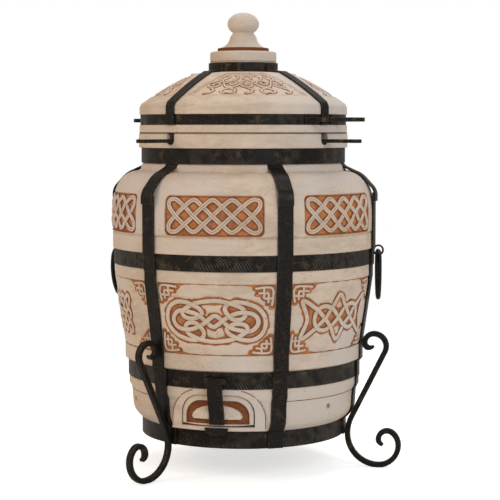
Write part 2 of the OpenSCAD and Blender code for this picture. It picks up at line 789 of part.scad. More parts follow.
module vent_lugs() {
    color(iron) for (s = [-1, 1]) {
        difference() {
            intersection() {
                translate([s * (door_strap_w / 2 + lug_gap + lug_t / 2), 0, 0]) side_plate(concat(
                    [[lower_hoop_r - 5, hinge_z - 12], [hinge_r, hinge_z - 8.5]],
                    [for (i = [0:8]) [hinge_r + 8.5 * sin(22.5 * i), hinge_z - 8.5 * cos(22.5 * i)]],
                    [[lower_hoop_r - 5, hinge_z + 12]]
                ), lug_t);
                difference() {
                    cylinder(r = 2 * lower_hoop_r, h = 2 * hinge_z);
                    cylinder(r = lower_hoop_r, h = 2 * hinge_z);
                }
            }
            vent_hole(hinge_pin_r + pin_gap);
        }
    }
}

module vent_rivet() {
    color(iron) outward_at(0, toe_r + hinge_curl_t, hinge_z - 88) rivet_head();
}

rest_r = base_hoop_r + fit;
lip_r = max(surround_r, max([for (q = flare) if (q[1] < sill_z + 3) q[0]])) + 1;

module vent_rest() {
    color(iron) intersection() {
        side_plate(flat_bar([
            [rest_r, base_hoop_z + 12], [rest_r, flare_z - 12], [lip_r, flare_z + 5], [lip_r, sill_z - 1]
        ], strap_t), 80);
        front_prism([
            [-19.5, base_hoop_z], [19.5, base_hoop_z], [19.5, flare_z - 4],
            [30, sill_z + 5], [-30, sill_z + 5], [-19.5, flare_z - 4]
        ], vent_in_r, vent_out_r);
    }
}

// --- Handles and rings ------------------------------------------------------------------------

pad_w = 34;
pad_angle = asin(lid_handle_half / lid_hoop_r);
handle_out = lid_hoop_r + lid_handle_reach - lid_handle_bar / 2;
handle_bend = 26;
handle_z = lid_hoop_z + lid_hoop_h / 2;
handle_path = concat(
    [[-lid_handle_half, -lid_hoop_r * cos(pad_angle) - 3]],
    [for (i = [0:6]) [-lid_handle_half + handle_bend * (1 - cos(15 * i)),
                      -handle_out + handle_bend * (1 - sin(15 * i))]],
    [for (i = [0:6]) [lid_handle_half - handle_bend * (1 - sin(15 * i)),
                      -handle_out + handle_bend * (1 - cos(15 * i))]],
    [[lid_handle_half, -lid_hoop_r * cos(pad_angle) - 3]]
);

module lid_handle(i) {
    color(iron) turned(handle_angles[i]) union() {
        translate([0, 0, handle_z - lid_handle_bar / 2]) linear_extrude(height = lid_handle_bar)
            polygon(round_bar(handle_path, lid_handle_bar / 2));
        for (s = [-1, 1]) {
            turned(s * pad_angle) translate([-pad_w / 2, -lid_hoop_r - fit - strap_t, lid_hoop_z + 1])
                cube([pad_w, strap_t, lid_hoop_h - 2]);
        }
    }
}

module handle_rivets() {
    color(iron) for (a = handle_angles, s = [-1, 1], x = [-1, 1]) {
        turned(a + s * pad_angle) translate([x * (pad_w / 2 - rivet_r - 1), 0, 0])
            outward_at(0, lid_hoop_r + fit + strap_t, handle_z) rivet_head();
    }
}

module ring_eye(angle) {
    color(iron) turned(angle) union() {
        translate([0, -eye_r, eye_z]) rotate([0, 90, 0]) rotate_extrude()
            translate([eye_ring_r, 0]) circle(r = eye_wire / 2);
        translate([0, -belly_hoop_r - 0.2, eye_z]) rotate([90, 0, 0]) cylinder(r = 7, h = 2);
        translate([0, -belly_hoop_r - 1, eye_z]) rotate([90, 0, 0])
            cylinder(r = eye_wire / 2 + 1, h = eye_reach - eye_hole_r - 1);
    }
}

// A bent link: straight top bar, round corners, long sides and a round end whose tips butt together.
// Each bend stops a little short, and a forged knuckle joins it to the next
module carry_ring(angle) {
    corner_c = [ring_top / 2, -ring_corner_r];
    side_c = corner_c + (ring_side_r - ring_corner_r) * [-sin(75), -cos(75)];
    end_c = side_c + (ring_side_r - ring_end_r) * [sin(135), cos(135)];
    color(iron) turned(angle) translate([0, -eye_r, ring_z]) rotate([90, 0, 0]) union() {
        rotate([0, 90, 0]) cylinder(r = ring_bar / 2, h = ring_top - 1, center = true);
        for (s = [0, 1]) mirror([s, 0, 0]) {
            knuckle(corner_c, ring_corner_r, 90);
            ring_bend(corner_c, ring_corner_r, 15, 90);
            knuckle(corner_c, ring_corner_r, 15);
            ring_bend(side_c, ring_side_r, -45, 15);
            knuckle(end_c, ring_end_r, -45);
            ring_bend(end_c, ring_end_r, -90, -45);
        }
    }
}

module ring_bend(c, r, a0, a1) {
    short = 30 / r;
    translate([c[0], c[1], 0]) rotate([0, 0, a0 + short]) rotate_extrude(angle = a1 - a0 - 2 * short)
        translate([r, 0]) circle(r = ring_bar / 2);
}

module knuckle(c, r, a) {
    translate([c[0] + r * cos(a), c[1] + r * sin(a), 0]) sphere(r = ring_bar / 2 + fit);
}

// --- Grate and rack ---------------------------------------------------------------------------

slot_pitch = slot_w + slot_rib;
slot_rows = floor((grate_r - 30) / slot_pitch);

module grate() {
    color(iron) translate([0, 0, ledge_z]) difference() {
        cylinder(r = grate_r, h = grate_t);
        for (i = [-slot_rows:slot_rows], s = [-1, 1]) {
            x = i * slot_pitch;
            half = sqrt(pow(grate_r - 20, 2) - pow(x, 2));
            translate([x - slot_w / 2, s > 0 ? slot_rib / 2 : -half, -1])
                cube([slot_w, half - slot_rib / 2, grate_t + 2]);
        }
    }
}

rack_eye_r = rack_w / 2 + 3;

module skewer_rack() {
    color(iron) translate([0, 0, rack_z]) turned(cross_angle) difference() {
        union() {
            for (a = [0, 90]) {
                turned(a) translate([-rack_w / 2, -rack_r + rack_eye_r, 0])
                    cube([rack_w, 2 * (rack_r - rack_eye_r), rack_t]);
            }
            for (a = [0:90:270]) {
                turned(a) translate([0, -rack_r + rack_eye_r, 0]) cylinder(r = rack_eye_r, h = rack_t);
            }
            difference() {
                cylinder(r = rack_ring_r, h = rack_t);
                translate([0, 0, -1]) cylinder(r = rack_ring_r - rack_w + 4, h = rack_t + 2);
            }
        }
        for (a = [0:90:270]) {
            turned(a) translate([0, -rack_r + rack_eye_r, -1]) cylinder(r = rack_w / 2 - 3, h = rack_t + 2);
        }
    }
}

ash_vessel();
floor_tile();
grate_ledge();
lower_vessel();
upper_vessel();
joint_rope();
lid_shell();
cap();
vent_door();
vent_strap();
vent_pin();
vent_lugs();
vent_rest();
vent_rivet();
base_hoop();
lower_hoop();
belly_hoop();
neck_hoop();
lid_hoop();
collar_hoop();
base_cross();
handle_rivets();
grate();
skewer_rack();
ring_eye(left_ring_angle);  // ring_eye_left
ring_eye(right_ring_angle);  // ring_eye_right
carry_ring(left_ring_angle);  // carry_ring_left
carry_ring(right_ring_angle);  // carry_ring_right
lid_handle(0);  // lid_handle_left
lid_handle(1);  // lid_handle_right
for (i = [1:6]) {
    body_strap(i - 1);
    shoulder_strap(i - 1);
}
for (i = [1:4]) {
    lid_strap(i - 1);
}
for (i = [1:3]) {
    leg(i - 1);
}
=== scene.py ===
import json
import math

import bpy
import numpy as np
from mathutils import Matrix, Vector


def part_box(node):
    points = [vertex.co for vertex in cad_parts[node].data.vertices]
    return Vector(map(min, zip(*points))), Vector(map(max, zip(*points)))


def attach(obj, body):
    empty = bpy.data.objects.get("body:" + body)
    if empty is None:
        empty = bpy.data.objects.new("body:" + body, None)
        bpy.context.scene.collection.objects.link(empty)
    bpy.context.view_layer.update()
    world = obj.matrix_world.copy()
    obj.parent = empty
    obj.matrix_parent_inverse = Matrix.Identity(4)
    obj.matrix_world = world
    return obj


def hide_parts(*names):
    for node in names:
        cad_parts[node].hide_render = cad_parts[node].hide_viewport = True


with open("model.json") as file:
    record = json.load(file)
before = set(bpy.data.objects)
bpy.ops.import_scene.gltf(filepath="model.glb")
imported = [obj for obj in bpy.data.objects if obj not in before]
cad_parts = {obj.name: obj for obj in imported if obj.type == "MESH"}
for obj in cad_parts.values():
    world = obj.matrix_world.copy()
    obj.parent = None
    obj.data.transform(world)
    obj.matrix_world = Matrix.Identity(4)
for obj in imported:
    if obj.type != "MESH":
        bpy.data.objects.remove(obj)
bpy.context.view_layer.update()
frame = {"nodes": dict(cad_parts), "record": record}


# Studio
# A pale floor that fades into a white surround, one broad warm lamp from the left, one cool lamp
# from the right, and the camera where the photograph was taken from.
camera_turn = math.radians(12.5)
camera_pitch = math.radians(4.456)
camera_distance = 3.54
camera_height = 0.768
axis_left_of_middle = 0.0154

bpy.ops.object.camera_add()
camera = bpy.context.object
camera.data.sensor_width = 36
camera.data.lens = 110.9
camera.rotation_euler = (math.pi / 2 - camera_pitch, 0, camera_turn)
camera.location = (
    camera_distance * math.sin(camera_turn) + axis_left_of_middle * math.cos(camera_turn),
    -camera_distance * math.cos(camera_turn) + axis_left_of_middle * math.sin(camera_turn),
    camera_height,
)
bpy.context.scene.camera = camera
bpy.context.scene.view_settings.view_transform = "Standard"


def socket_value(tree, made, key, value):
    if isinstance(value, bpy.types.NodeSocket):
        tree.links.new(value, made.inputs[key])
    else:
        made.inputs[key].default_value = value


def add_node(tree, kind, inputs=(), **settings):
    """A shader node with its settings and its inputs, each a value or another node's output."""
    made = tree.nodes.new("ShaderNode" + kind)
    for key, value in settings.items():
        setattr(made, key, value)
    for key, value in dict(inputs).items():
        socket_value(tree, made, key, value)
    return made


def new_material(name):
    material = bpy.data.materials.new(name)
    material.use_nodes = True
    material.node_tree.nodes.clear()
    return material, material.node_tree


def lamp(name, place, aim, size, power, colour):
    bpy.ops.object.light_add(type="AREA", location=place)
    light = bpy.context.object
    light.name = name
    light.data.shape = "RECTANGLE"
    light.data.size, light.data.size_y = size
    light.data.energy = power
    light.data.color = colour
    light.rotation_euler = (Vector(aim) - Vector(place)).to_track_quat("-Z", "Y").to_euler()


lamp("warm_side", (-3.0, -1.9, 2.2), (0, 0, 0.5), (1.5, 1.5), 36, (1.0, 0.69, 0.40))
lamp("cool_window", (2.3, -3.0, 2.1), (0, 0, 0.5), (1.3, 1.9), 48, (0.91, 0.95, 1.0))
lamp("top_light", (0.3, 0.9, 3.2), (0, 0, 0.6), (2.2, 2.2), 34, (1.0, 0.97, 0.92))

bpy.ops.mesh.primitive_plane_add(size=60)
floor = bpy.context.object
floor.name = "floor"
pale, tree = new_material("pale_floor")
path = add_node(tree, "LightPath")
paper = add_node(tree, "BsdfDiffuse", {"Color": (0.88, 0.88, 0.87, 1)})
glow = add_node(tree, "Emission", {"Color": (1, 1, 1, 1), "Strength": 0.62})
lit = add_node(tree, "AddShader", {0: paper.outputs[0], 1: glow.outputs[0]})
out_there = add_node(tree, "VectorMath", {0: add_node(tree, "TexCoord").outputs["Object"]},
                     operation="LENGTH")
fade = add_node(tree, "MapRange", {
    "Value": out_there.outputs["Value"], "From Min": 0.9, "From Max": 3.0},
    interpolation_type="SMOOTHSTEP")
beyond = add_node(tree, "Emission", {"Color": (1, 1, 1, 1), "Strength": 1.0})
faded = add_node(tree, "MixShader", {0: fade.outputs["Result"], 1: lit.outputs[0], 2: beyond.outputs[0]})
choice = add_node(tree, "MixShader", {0: path.outputs["Is Camera Ray"], 1: paper.outputs[0],
                                      2: faded.outputs[0]})
add_node(tree, "OutputMaterial", {"Surface": choice.outputs[0]})
floor.data.materials.append(pale)

world = bpy.data.worlds.new("white_room")
bpy.context.scene.world = world
world.use_nodes = True
tree = world.node_tree
tree.nodes.clear()
path = add_node(tree, "LightPath")
seen = add_node(tree, "Math", {
    0: path.outputs["Is Camera Ray"], 1: path.outputs["Is Transmission Ray"]}, operation="MAXIMUM")
dim = add_node(tree, "Background", {"Color": (1, 0.99, 0.97, 1), "Strength": 0.42})
white = add_node(tree, "Background", {"Color": (1, 1, 1, 1), "Strength": 1.0})
choice = add_node(tree, "MixShader", {0: seen.outputs[0], 1: dim.outputs[0], 2: white.outputs[0]})
add_node(tree, "OutputWorld", {"Surface": choice.outputs[0]})


# Clay
# The vessels, lid, cap and door are pressed from coarse fired clay and brushed with a cream engobe.
# The orange body shows where the engobe was wiped out of the relief and off the arrises.
cream = (0.71, 0.575, 0.45, 1)
cream_dull = (0.58, 0.465, 0.36, 1)
cream_cool = (0.66, 0.575, 0.51, 1)
orange = (0.56, 0.205, 0.062, 1)
burnt_orange = (0.34, 0.115, 0.042, 1)
# Dark brown of the painted shade in creases and recesses
crease_shade_brown = (0.155, 0.045, 0.018, 1)
# Black of soot, and of the painted shade line in the gap under the lid
soot_and_shade_black = (0.03, 0.026, 0.023, 1)


def effect(name, inputs, outputs):
    """An empty group of shader nodes with named inputs and outputs."""
    group = bpy.data.node_groups.new(name, "ShaderNodeTree")
    for label, value in inputs:
        socket = group.interface.new_socket(label, in_out="INPUT", socket_type="NodeSocketFloat")
        socket.default_value = value
    for label in outputs:
        group.interface.new_socket(label, in_out="OUTPUT", socket_type="NodeSocketFloat")
    return group, group.nodes.new("NodeGroupInput"), group.nodes.new("NodeGroupOutput")


def placed(tree, group, **inputs):
    made = tree.nodes.new("ShaderNodeGroup")
    made.node_tree = group
    for key, value in inputs.items():
        socket_value(tree, made, key.replace("_", " "), value)
    return made


def calc(tree, operation, a, b=0.0, c=0.0):
    return add_node(tree, "Math", {0: a, 1: b, 2: c}, operation=operation).outputs[0]


def ramp(tree, value, low, high):
    """0 below low and 1 above high, with a smooth step between."""
    made = add_node(tree, "MapRange", {"Value": value, "From Min": low, "From Max": high},
                    interpolation_type="SMOOTHSTEP")
    return made.outputs["Result"]


def noise(tree, scale, detail=3.0, stretch=(1, 1, 1), roughness=0.5):
    where = add_node(tree, "TexCoord").outputs["Object"]
    if stretch != (1, 1, 1):
        where = add_node(tree, "Mapping", {"Vector": where, "Scale": stretch}).outputs[0]
    return add_node(tree, "TexNoise", {
        "Vector": where, "Scale": scale, "Detail": detail, "Roughness": roughness}).outputs["Fac"]


def colour_mix(tree, factor, a, b):
    """Colour a where the factor is 0 and colour b where it is 1."""
    made = add_node(tree, "Mix", data_type="RGBA")
    for socket, value in ((made.inputs[0], factor), (made.inputs[6], a), (made.inputs[7], b)):
        if isinstance(value, bpy.types.NodeSocket):
            tree.links.new(value, socket)
        else:
            socket.default_value = value
    return made.outputs[2]


# Grain of the fired clay: broad brush mottle, fine grog, pits, and the level of all three
grain, source, result = effect("fired_grain", [("Pit size", 0.5)], ["Mottle", "Speck", "Pits", "Height"])
broad = noise(grain, 9, 4, (1, 1, 1.8), 0.6)
brushed = noise(grain, 30, 3, (1, 1, 3.5), 0.6)
fine = noise(grain, 420, 3)
mottle = calc(grain, "MULTIPLY_ADD", brushed, 0.45, calc(grain, "MULTIPLY", broad, 0.55))
pit_cells = add_node(grain, "TexVoronoi", {
    "Vector": add_node(grain, "TexCoord").outputs["Object"], "Scale": 150}).outputs["Distance"]
pit_here = ramp(grain, noise(grain, 24, 2), 0.56, 0.62)
pit_edge = calc(grain, "MULTIPLY", source.outputs[0], 0.5)
pit = calc(grain, "MULTIPLY", pit_here,
           calc(grain, "SUBTRACT", 1.0, ramp(grain, pit_cells, 0.12, pit_edge)))
speck = ramp(grain, noise(grain, 230, 2), 0.66, 0.74)
level = calc(grain, "SUBTRACT", calc(
    grain, "MULTIPLY_ADD", fine, 0.5, calc(grain, "MULTIPLY", brushed, 0.6)), pit)
for label, value in (("Mottle", mottle), ("Speck", speck), ("Pits", pit), ("Height", level)):
    grain.links.new(value, result.inputs[label])

# Wiping: breaks up the edge of a painted mask, so that it looks rubbed out by hand
wiping, source, result = effect("wiped_edge", [("Mask", 0.0), ("Raggedness", 0.5)], ["Mask"])
torn = calc(wiping, "MULTIPLY_ADD", noise(wiping, 260, 3), 0.6,
            calc(wiping, "MULTIPLY", noise(wiping, 60, 3), 0.4))
shift = calc(wiping, "MULTIPLY", calc(wiping, "SUBTRACT", torn, 0.5), source.outputs["Raggedness"])
wiped = ramp(wiping, calc(wiping, "ADD", source.outputs["Mask"], shift), 0.28, 0.72)
wiping.links.new(wiped, result.inputs["Mask"])

# Edge wear: a broken line along every sharp edge
edge_wear, source, result = effect("edge_wear", [("Radius", 0.003)], ["Edge"])
rounded = add_node(edge_wear, "Bevel", {"Radius": source.outputs[0]}, samples=4)
turned_away = add_node(edge_wear, "VectorMath", {
    0: rounded.outputs[0], 1: add_node(edge_wear, "NewGeometry").outputs["Normal"]},
    operation="DOT_PRODUCT")
at_edge = ramp(edge_wear, calc(edge_wear, "SUBTRACT", 1.0, turned_away.outputs["Value"]), 0.015, 0.16)
broken = ramp(edge_wear, noise(edge_wear, 85, 3), 0.38, 0.60)
edge_wear.links.new(calc(edge_wear, "MULTIPLY", at_edge, broken), result.inputs["Edge"])


def clay_with_engobe():
    """Engobe over orange clay. Its mesh attributes say where the orange body shows, where shade is
    painted in dark brown in creases and recesses, and where soot, and at the lid's edge a painted shade
    line, blacken it."""
    material, tree = new_material("engobe_clay")
    body = placed(tree, grain, Pit_size=0.55)
    stain = add_node(tree, "Attribute", attribute_name="stain").outputs["Fac"]
    crease_shade = add_node(tree, "Attribute", attribute_name="crease_shade").outputs["Fac"]
    soot_and_shade = add_node(tree, "Attribute", attribute_name="soot_and_shade").outputs["Fac"]
    shown = placed(tree, wiping, Mask=stain, Raggedness=0.55).outputs["Mask"]
    tone = colour_mix(tree, ramp(tree, body.outputs["Mottle"], 0.38, 0.62), cream, cream_dull)
    tone = colour_mix(tree, ramp(tree, noise(tree, 3.2, 2), 0.42, 0.62), tone, cream_cool)
    tone = colour_mix(tree, calc(tree, "MULTIPLY", body.outputs["Speck"], 0.35), tone, burnt_orange)
    tone = colour_mix(tree, calc(tree, "MULTIPLY", body.outputs["Pits"], 0.55), tone, burnt_orange)
    under = colour_mix(tree, ramp(tree, noise(tree, 70, 3), 0.35, 0.68), orange, burnt_orange)
    left_on = ramp(tree, noise(tree, 140, 2), 0.55, 0.7)
    under = colour_mix(tree, calc(tree, "MULTIPLY", left_on, 0.3), under, cream)
    # Painted shade: creases and recesses are darkened toward the shade brown
    under = colour_mix(tree, calc(tree, "MULTIPLY", crease_shade, 0.8), under, crease_shade_brown)
    tone = colour_mix(tree, shown, tone, under)
    worn = placed(tree, edge_wear, Radius=0.004).outputs["Edge"]
    tone = colour_mix(tree, calc(tree, "MULTIPLY", worn, 0.45), tone, burnt_orange)
    # Soot blackens the insides; the same attribute paints the black shade line at the lid's lower edge
    tone = colour_mix(tree, soot_and_shade, tone, soot_and_shade_black)
    bump = add_node(tree, "Bump", {
        "Height": body.outputs["Height"], "Strength": 0.35, "Distance": 0.0012})
    shader = add_node(tree, "BsdfPrincipled", {
        "Base Color": tone, "Normal": bump.outputs[0],
        "Roughness": calc(tree, "MULTIPLY_ADD", body.outputs["Mottle"], 0.15, 0.72)})
    shader.inputs["Specular IOR Level"].default_value = 0.25
    add_node(tree, "OutputMaterial", {"Surface": shader.outputs[0]})
    return material


engobe = clay_with_engobe()


def dress(name, material):
    """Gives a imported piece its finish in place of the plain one."""
    piece = frame["nodes"][name]
    for place in range(len(piece.data.materials)):
        piece.data.materials[place] = material
    if not piece.data.materials:
        piece.data.materials.append(material)


body_of = {node: body
           for body, nodes in frame["record"]["behaviour"]["bodies"].items() for node in nodes}
slot_of = {part["node"]: part["material_slot"] for part in frame["record"]["subparts"]}


def merged_copy(node):
    """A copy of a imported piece, with its loose triangles welded and its flat faces made whole."""
    bpy.ops.object.select_all(action="DESELECT")
    source = frame["nodes"][node]
    source.select_set(True)
    bpy.context.view_layer.objects.active = source
    bpy.ops.object.duplicate()
    bpy.ops.object.mode_set(mode="EDIT")
    bpy.ops.mesh.select_all(action="SELECT")
    bpy.ops.mesh.remove_doubles(threshold=0.00002)
    bpy.ops.mesh.dissolve_limited(angle_limit=math.radians(0.8))
    bpy.ops.object.mode_set(mode="OBJECT")
    return bpy.context.object


def round_bends(piece, width):
    """Turns the folded bends of a flat bar into round ones, and leaves its long edges alone."""
    least_fold, most_fold = 12, 70
    bpy.ops.object.select_all(action="DESELECT")
    piece.select_set(True)
    bpy.context.view_layer.objects.active = piece
    mesh = piece.data
    sides = {}
    for face in mesh.polygons:
        for key in face.edge_keys:
            sides.setdefault(key, []).append(face.normal)
    weights = mesh.attributes.new("bevel_weight_edge", "FLOAT", "EDGE")
    for edge in mesh.edges:
        pair = sides[edge.key]
        fold = math.degrees(pair[0].angle(pair[1])) if len(pair) == 2 else 0
        weights.data[edge.index].value = float(least_fold < fold < most_fold)
    bends = piece.modifiers.new("bends", "BEVEL")
    bends.width = width
    bends.segments = 5
    bends.limit_method = "WEIGHT"
    bpy.ops.object.modifier_apply(modifier=bends.name)


def eased(node, material, width, angle=35, bend=0.0):
    """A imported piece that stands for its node, with its edges rounded to the width, and the folds of
    a bar to the width bend."""
    piece = merged_copy(node)
    piece.name = piece.data.name = node + "_eased"
    if bend:
        round_bends(piece, bend)
    rounding = piece.modifiers.new("rounding", "BEVEL")
    rounding.width = width
    rounding.segments = 3
    rounding.limit_method = "ANGLE"
    rounding.angle_limit = math.radians(angle)
    bpy.ops.object.modifier_apply(modifier=rounding.name)
    bpy.ops.object.shade_smooth()
    flats = piece.modifiers.new("flats", "WEIGHTED_NORMAL")
    flats.weight = 100
    bpy.ops.object.modifier_apply(modifier=flats.name)
    piece.data.materials.clear()
    piece.data.materials.append(material)
    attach(piece, body_of[node])
    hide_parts(node)
    return piece


def paint(piece, name, rule):
    """Writes a vertex attribute from each vertex's distance to the vessel's axis and its height."""
    place = np.empty(len(piece.data.vertices) * 3, np.float32)
    piece.data.vertices.foreach_get("co", place)
    x, y, z = place.reshape(-1, 3).T
    values = np.asarray(rule(np.hypot(x, y), z), np.float32)
    attribute = piece.data.attributes.new(name, "FLOAT", "POINT")
    attribute.data.foreach_set("value", values)


# The fire blackens the inside of the three rings, and the rim's top, where the lid sits on it, is
# greyed. Each radius lies just outside the inner wall of its ring
vessel_ease = 0.0022
ash_floor_z, ash_step_z = 0.085, 0.125
ash_low_r, ash_high_r = 0.2155, 0.2275
belly_inner_r, neck_inner_r, neck_z = 0.2545, 0.212, 0.66
mouth_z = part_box("upper_vessel")[1][2]
ring = eased("ash_vessel", engobe, vessel_ease)
paint(ring, "soot_and_shade", lambda r, z: 0.9 * (z > ash_floor_z)
      * (r < np.where(z < ash_step_z, ash_low_r, ash_high_r)))
ring = eased("lower_vessel", engobe, vessel_ease)
paint(ring, "soot_and_shade", lambda r, z: 0.9 * (r < belly_inner_r))
ring = eased("upper_vessel", engobe, vessel_ease)
paint(ring, "soot_and_shade", lambda r, z: 0.9 * (r < np.where(z > neck_z, neck_inner_r, belly_inner_r))
      + 0.4 * (z > mouth_z - 0.0004) * (r > neck_inner_r))
# Ash greys the tile on the floor and the ledge under the grate
for node in ("floor_tile", "grate_ledge"):
    paint(eased(node, engobe, vessel_ease), "soot_and_shade", lambda r, z: 0.6 + 0 * r)
# The lid is black in its hollow, which narrows towards the smoke hole
hollow_r, hollow_z = 0.177, 0.858
crown_r, crown_z = 0.12, 0.870
lid = eased("lid_shell", engobe, 0.0018)
paint(lid, "soot_and_shade", lambda r, z: 0.85 * ((r < hollow_r) & (z < hollow_z) | (r < crown_r) & (z < crown_z)))


# The foot of the knob stands on a stripe of bare clay, darkened to brown as painted shade in its groove
stripe_low, stripe_high = 0.9445, 0.9535
stripe_inner_r, stripe_outer_r = 0.0565, 0.0590


def in_stripe(r, z):
    return 1.0 * (z > stripe_low) * (z < stripe_high) * (r > stripe_inner_r) * (r < stripe_outer_r)


cap = eased("cap", engobe, 0.0016)
paint(cap, "stain", in_stripe)
# Painted shade: the stripe is darkened almost to the shade brown
paint(cap, "crease_shade", lambda r, z: 1.15 * in_stripe(r, z))

# The door's panel is sunk 6 mm round a raised half moon; it shows the orange clay, darkened to brown as
# painted shade in the recess
door_back_r, panel_inner_r, panel_outer_r = 0.2450, 0.2485, 0.2548
door = eased("vent_door", engobe, 0.0010)
paint(door, "stain", lambda r, z: 1.0 * (r > panel_inner_r) * (r < panel_outer_r))
# Painted shade: the sunk panel is darkened toward the shade brown
paint(door, "crease_shade", lambda r, z: 0.9 * (r > panel_inner_r) * (r < panel_outer_r))
paint(door, "soot_and_shade", lambda r, z: 0.85 * (r < door_back_r))


# Joint rope
# A heat-proof rope of spun white fibre lies in the groove between the middle and the upper ring. Its
# strands run round it in a long twist, and the grooves between them are painted darker as shade.
rope_ring_r, rope_pitch, rope_lean = 0.28, 0.0095, 1.6
rope_white = (0.62, 0.58, 0.50, 1)
rope_shade = (0.22, 0.19, 0.15, 1)
rope, tree = new_material("joint_rope")
where = add_node(tree, "SeparateXYZ", {0: add_node(tree, "TexCoord").outputs["Object"]}).outputs
round_ring = calc(tree, "MULTIPLY", calc(tree, "ARCTAN2", where["X"], where["Y"]), rope_ring_r)
twist = calc(tree, "DIVIDE", calc(tree, "MULTIPLY_ADD", where["Z"], rope_lean, round_ring), rope_pitch)
twist_wave = calc(tree, "SINE", calc(tree, "MULTIPLY", twist, 2 * math.pi))
strand_top = calc(tree, "MULTIPLY_ADD", twist_wave, 0.5, 0.5)
fibre = noise(tree, 900, 3, (1, 1, 2.5))
# The rise of the strands bumps the rope and, with the fibre, colours it: painted shade toward rope_shade
# in the grooves.
strand_relief_and_shade = calc(tree, "MULTIPLY_ADD", fibre, 0.45, calc(tree, "MULTIPLY", strand_top, 0.6))
bump = add_node(tree, "Bump", {"Height": strand_relief_and_shade, "Strength": 0.8, "Distance": 0.0012})
shader = add_node(tree, "BsdfPrincipled", {
    "Base Color": colour_mix(tree, strand_relief_and_shade, rope_shade, rope_white), "Normal": bump.outputs[0],
    "Roughness": calc(tree, "MULTIPLY_ADD", fibre, 0.1, 0.85)})
add_node(tree, "OutputMaterial", {"Surface": shader.outputs[0]})
dress("joint_rope", rope)


# Relief of the fields
# Between two straps each field carries a pressed ornament: round or flat clay strands that pass over
# and under each other on a sunk ground, where the engobe is wiped off down to the orange clay.
# Along the strands' feet and on the ground beside them, shade is painted in dark brown.
def as_clay_piece(name, body):
    """Names the active piece, gives it the engobe and puts it on its body."""
    piece = bpy.context.object
    piece.name = piece.data.name = name
    piece.data.materials.clear()
    piece.data.materials.append(engobe)
    bpy.ops.object.shade_smooth()
    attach(piece, body)
    return piece


def grid_of(points, names_and_values):
    """A grid primitive whose vertices are moved to points[row][column], with vertex attributes."""
    rows, columns = points.shape[:2]
    bpy.ops.object.select_all(action="DESELECT")
    bpy.ops.mesh.primitive_grid_add(x_subdivisions=columns - 1, y_subdivisions=rows - 1, size=1)
    piece = bpy.context.object
    piece.data.vertices.foreach_set("co", points.reshape(-1).astype(np.float32))
    for name, values in names_and_values:
        attribute = piece.data.attributes.new(name, "FLOAT", "POINT")
        attribute.data.foreach_set("value", np.asarray(values, np.float32).reshape(-1))
    return piece


def closed_up(piece):
    """Welds the meeting edges, closes open ends and turns all faces outwards."""
    bpy.ops.object.mode_set(mode="EDIT")
    bpy.ops.mesh.select_all(action="SELECT")
    bpy.ops.mesh.remove_doubles(threshold=0.00001)
    bpy.ops.mesh.fill_holes(sides=0)
    bpy.ops.mesh.normals_make_consistent(inside=False)
    bpy.ops.object.mode_set(mode="OBJECT")
    return piece


def drawn_line(points, closed, step=0.0022):
    """Points a step apart along a smooth line through the given points."""
    p = np.array(points, float)
    n = len(p)
    t = np.linspace(0, 1, 10, endpoint=False)[:, None]
    out = []
    for i in range(n if closed else n - 1):
        a, b, c, d = [p[(i + k) % n] if closed else p[min(max(i + k, 0), n - 1)] for k in (-1, 0, 1, 2)]
        out.append(0.5 * (2 * b + (c - a) * t + (2 * a - 5 * b + 4 * c - d) * t**2
                          + (3 * b - a - 3 * c + d) * t**3))
    out = np.concatenate(out + [p[:1] if closed else p[-1:]])
    reach = np.concatenate([[0], np.cumsum(np.linalg.norm(np.diff(out, axis=0), axis=1))])
    at = np.linspace(0, reach[-1], max(6, int(reach[-1] / step)) + 1)
    return np.stack([np.interp(at, reach, out[:, k]) for k in (0, 1)], axis=1)


def crossings(lines):
    """Every place where two stretches cross, as pairs of (line, point number)."""
    next_door = 3
    starts = np.concatenate([line[:-1] for line in lines])
    ends = np.concatenate([line[1:] for line in lines])
    owner = [(k, i) for k, line in enumerate(lines) for i in range(len(line) - 1)]
    run = ends - starts
    found = []
    for i in range(len(starts) - 1):
        between = starts[i + 1:] - starts[i]
        turn = run[i][0] * run[i + 1:, 1] - run[i][1] * run[i + 1:, 0]
        turn = np.where(abs(turn) < 1e-12, 1e-12, turn)
        t = (between[:, 0] * run[i + 1:, 1] - between[:, 1] * run[i + 1:, 0]) / turn
        u = (between[:, 0] * run[i][1] - between[:, 1] * run[i][0]) / turn
        for j in np.nonzero((t > 0) & (t <= 1) & (u > 0) & (u <= 1))[0]:
            a, b = owner[i], owner[i + 1 + j]
            gap = abs(a[1] - b[1])
            if a[0] != b[0] or next_door < gap < len(lines[a[0]]) - 1 - next_door:
                found.append((a, b))
    return found


def over_and_under(lines, rise, reach=0.011):
    """Height along each line, so that it passes over and under the others in turn. It rises or sinks
    by rise at a crossing, within about reach of it."""
    found = crossings(lines)
    over = {}
    heights = []
    for k, line in enumerate(lines):
        passes = sorted((end[1], c) for c, pair in enumerate(found) for end in pair if end[0] == k)
        first = True
        for order, (i, c) in enumerate(passes):
            if c in over:
                first = (over[c] == (k, i)) == (order % 2 == 0)
                break
        steps = np.linalg.norm(np.diff(line, axis=0), axis=1)
        along = np.concatenate([[0], np.cumsum(steps)])
        height = np.zeros(len(line))
        for order, (i, c) in enumerate(passes):
            on_top = (order % 2 == 0) == first
            if c not in over:
                other = found[c][0] if found[c][1] == (k, i) else found[c][1]
                over[c] = (k, i) if on_top else other
            gap = abs(along - along[i])
            gap = np.minimum(gap, along[-1] - gap) if np.allclose(line[0], line[-1]) else gap
            height += (rise if over[c] == (k, i) else -rise) * np.exp(-(gap / reach) ** 2)
        heights.append(height)
    return heights


